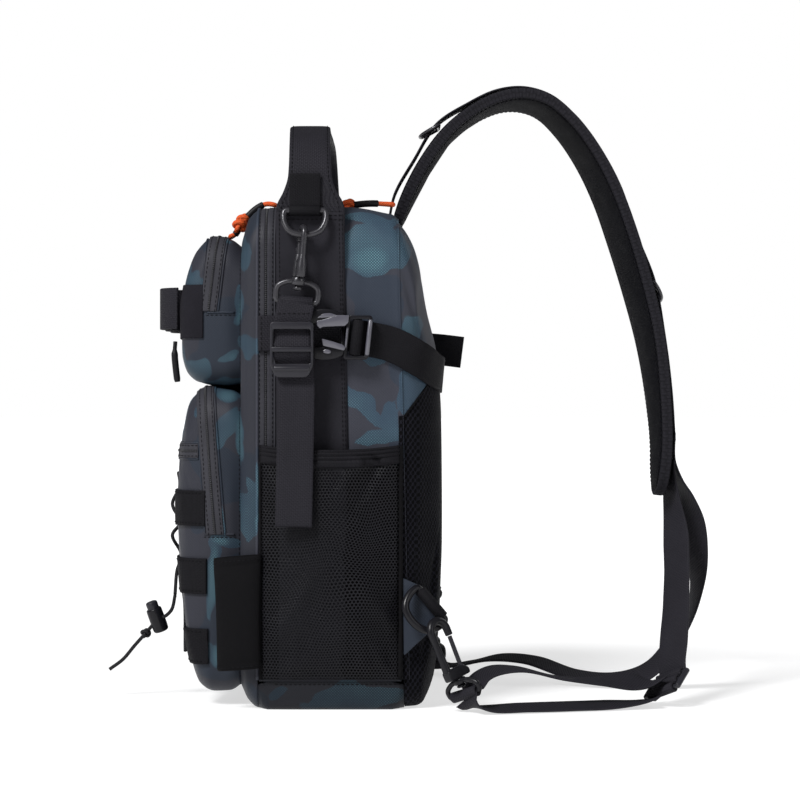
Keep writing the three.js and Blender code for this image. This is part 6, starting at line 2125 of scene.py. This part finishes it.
# Lower hooks in their own frame: foot outline and gate, then turned parts as pairs of distance and radius
LOWER_FOOT = ((-10.4, -34.2), (10.4, -34.2), (10.4, -30), (5, -26.6), (-10.4, -26.6))
LOWER_GATE = ((6.6, 0, -28.6), (7.1, 0, -18), (7.8, 0, -5.6))
LOWER_POST = ((-41, 2.4), (-40.6, 3.4), (-39.4, 3.6), (-39, 2.2), (-33, 2.2))
LOWER_PIN = ((-1.9, 1.7), (-1.6, 2), (1.6, 2), (1.9, 1.7))
SHUT_GATE = ((-28, 1.8), (-4, 1.8))
PLAIN_NECK = ((-36.4, 3.4), (-36, 4.4), (-33, 4.4))


def seam_x(z):
    """Where the back seam lies at a height."""
    return BACK_SEAM + 9 * (1 - z / BODY_HEIGHT)


class BuildAnchors(bpy.types.Operator):
    """Cloth tabs, rings and snap hooks at the foot of the back"""

    bl_idname = "bag.anchors"
    bl_label = "Lower anchors"

    def execute(self, context):
        (x, z), (end_x, end_z) = ANCHOR_FROM, ANCHOR_TO
        angle = math.atan2(z - end_z, end_x - x)
        flap = rounded([(seam_x(92) + 0.6, 93), (x, z + 2.6), (end_x + 2, end_z), (seam_x(38) + 0.6, 38)], 2)
        for side, word in SIDES:
            y = side * ANCHOR_Y
            cloth = slab(flap, 2.4, place=(0, ANCHOR_FLAP_Y[side], 0))
            # An even blue tab, darkened as painted shade
            tab = box_map(camouflaged(make(f"anchor_{word}_cloth", cloth, CAMOUFLAGE), -0.4, 0.8))
            carry(soften(tab, 0.7), f"anchor_tab_{word}")
            sewn(f"anchor_{word}_loop", sleeve((x, y, z), (end_x, y, end_z), 2), "Dark webbing")
            middle = ((x + end_x) / 2, y, (z + end_z) / 2)
            seat = matrix_of(middle, (angle, "Y"), (side * 0.5, "X"))
            ring = [ring_wire(30, 20, 5.4)]
            hardware(f"anchor_{word}_ring", "Glossy plastic", ring, f"anchor_dring_{word}", matrix=seat)
        near, far = hook_frame(NEAR, HOOK_TURN), hook_frame(FAR, HOOK_TURN)
        line = smooth_path(arch(0, 8, -28, -5), 0.8)
        bow = sweep(line, np.interp(line[:, 2], [-28, -8, 8], [3.0, 2.5, 3.0]), 16)
        foot = slab(rounded(LOWER_FOOT, 2), 6.8, place=(0, 3.4, 0))
        hardware("lower_hook_bow", "Glossy plastic", [bow, foot, lathe(LOWER_POST)], "lower_hook", 0.6, near)
        gate = [sweep(smooth_path(LOWER_GATE, 1.0), 1.6, 12), lathe(LOWER_PIN, LOWER_GATE[0], (0, 1, 0))]
        hardware("lower_hook_lever", "Moulded plastic", gate, "lower_hook_gate", 0.15, near,
                 "lower_hook_gate")
        swivel = [eye_wire(-36.6, EYE_BAR, EYE_WIRE), tube_wall((0, 0, -38.6), (0, 0, -34.6), 2.7, 4.6)]
        turned_eye = hook_frame(NEAR, EYE_TURN)
        hardware("lower_hook_swivel", "Glossy plastic", swivel, "lower_hook_eye", matrix=turned_eye)
        eye = placed(eye_wire(-34.2, EYE_BAR, EYE_WIRE), matrix_of((0, 0, 0), (HOOK_TURN - EYE_TURN, "Z")))
        plain = [bow, foot, lathe(SHUT_GATE, (8, 0, 0)), lathe(PLAIN_NECK), eye]
        hardware("lower_hook_plain", "Glossy plastic", plain, "lower_hook_far", 0.6, far)
        return {"FINISHED"}


# Zip pulls: route from the loop's end through the grip to the knot
PULLS = (
    ("front", ((-44, -40, 356), (-50, -40, 355.6), (-57, -41, 353), (-66.8, -43, 347.6))),
    ("pocket", ((-76, -52, 335.2), (-72, -53, 337.6), (-69, -54.5, 343))),
    ("back", ((42, -33, 356.8), (34, -36, 356), (26, -39, 356.3), (9.5, -40, 358.6))),
)
PANEL_PULL = ((-114.4, -70, 259), (-114.8, -71, 250), (-114, -71, 240), (-112.8, -71, 230))


class BuildPulls(bpy.types.Operator):
    """Orange cord pulls of the zips and the dark pull of the hook panel"""

    bl_idname = "bag.pulls"
    bl_label = "Zip pulls"

    def execute(self, context):
        for word, rows in PULLS:
            line = smooth_path(rows, 0.8)
            line[:, 2] += 4.5 * np.sin(np.linspace(0.25, 1, len(line)) * np.pi) if word != "pocket" else 0
            along = tangents(line)
            across = unit(np.cross(along, (0, 0, 1)))
            share = np.linspace(0, 1, len(line))
            spread_out = 2.1 * np.clip(1 - share * 2.6, 0.16, 1) * np.sqrt(np.clip(share / 0.06, 0, 1))
            strands = [sweep(line + across * (s * spread_out)[:, None], 1.8, 9) for s in (-1, 1)]
            end, way, beside = line[-1], along[-1], across[-1]
            above = np.cross(way, beside)
            tips = []
            for k in range(9):
                lean = beside * math.sin(k * 2.4) * 1.6 + above * math.cos(k * 2.4) * 1.6
                reach = ((2, 0.5), (4, 0.9), (5.5 + k % 3 * 0.4, 1.3))
                tip = [end + way * ahead + lean * aside for ahead, aside in reach]
                tips.append(sweep(smooth_path(tip, 0.7), 0.32, 6))
            cord = make(f"pull_{word}_cord", [*strands, tied_knot(end, 4.3, 1.9), *tips], "Orange cord")
            carry(cord, f"zip_pull_{word}")
            inside = line[int(len(line) * 0.36):int(len(line) * 0.9)]
            grip = make(f"pull_{word}_grip", sweep(inside, 2.5, 14), "Grip tube")
            carry(soften(grip, 0.4))
        line = smooth_path(PANEL_PULL, 0.8)
        share = np.linspace(0, 1, len(line))
        width = 1.5 + 0.9 * np.clip((share - 0.2) / 0.1, 0, 1) - 0.5 * np.clip((share - 0.93) / 0.07, 0, 1)
        carry(make("panel_pull", sweep(line, width, 14), "Grip tube"), "hook_panel_pull")
        return {"FINISHED"}


class BuildStitches(bpy.types.Operator):
    """All the rows of stitches"""

    bl_idname = "bag.stitches"
    bl_label = "Stitches"

    def execute(self, context):
        sizes = context.scene.bag_sizes
        beads = (sizes.stitch_long, sizes.thread, sizes.thread * 0.8)
        carry(beads_on("stitching", stitch_rows, "Sewing thread", beads))
        return {"FINISHED"}


PIECES = (
    MakeFinishes, MakeStage, BuildCords, BuildBody, BuildMainZip, BuildBackPad, BuildPockets, BuildSides,
    BuildToolSleeve, BuildHandle, BuildHanger, BuildCompression, BuildShoulder, BuildLegs, BuildAnchors,
    BuildPulls, BuildStitches,
)


class BagPanel(bpy.types.Panel):
    """Lists the pieces of the bag"""

    bl_idname = "VIEW3D_PT_bag"
    bl_label = "Fishing backpack"
    bl_space_type = "VIEW_3D"
    bl_region_type = "UI"
    bl_category = "Backpack"

    def draw(self, context):
        for values in (context.scene.bag_sizes, context.scene.bag_colours):
            box = self.layout.box()
            for label in values.__annotations__:
                box.prop(values, label)
        for piece in PIECES:
            self.layout.operator(piece.bl_idname)


CLASSES = (BagSizes, BagColours, *PIECES, BagPanel)


def register():
    """Makes the bag's values, operators and panel known."""
    for one in CLASSES:
        bpy.utils.register_class(one)
    bpy.types.Scene.bag_sizes = bpy.props.PointerProperty(type=BagSizes)
    bpy.types.Scene.bag_colours = bpy.props.PointerProperty(type=BagColours)


def unregister():
    """Takes them away again."""
    del bpy.types.Scene.bag_colours
    del bpy.types.Scene.bag_sizes
    for one in reversed(CLASSES):
        bpy.utils.unregister_class(one)


def main():
    """Builds the bag piece by piece."""
    register()
    for piece in PIECES:
        group, name = piece.bl_idname.split(".")
        getattr(getattr(bpy.ops, group), name)()


if __name__ == "__main__":
    main()
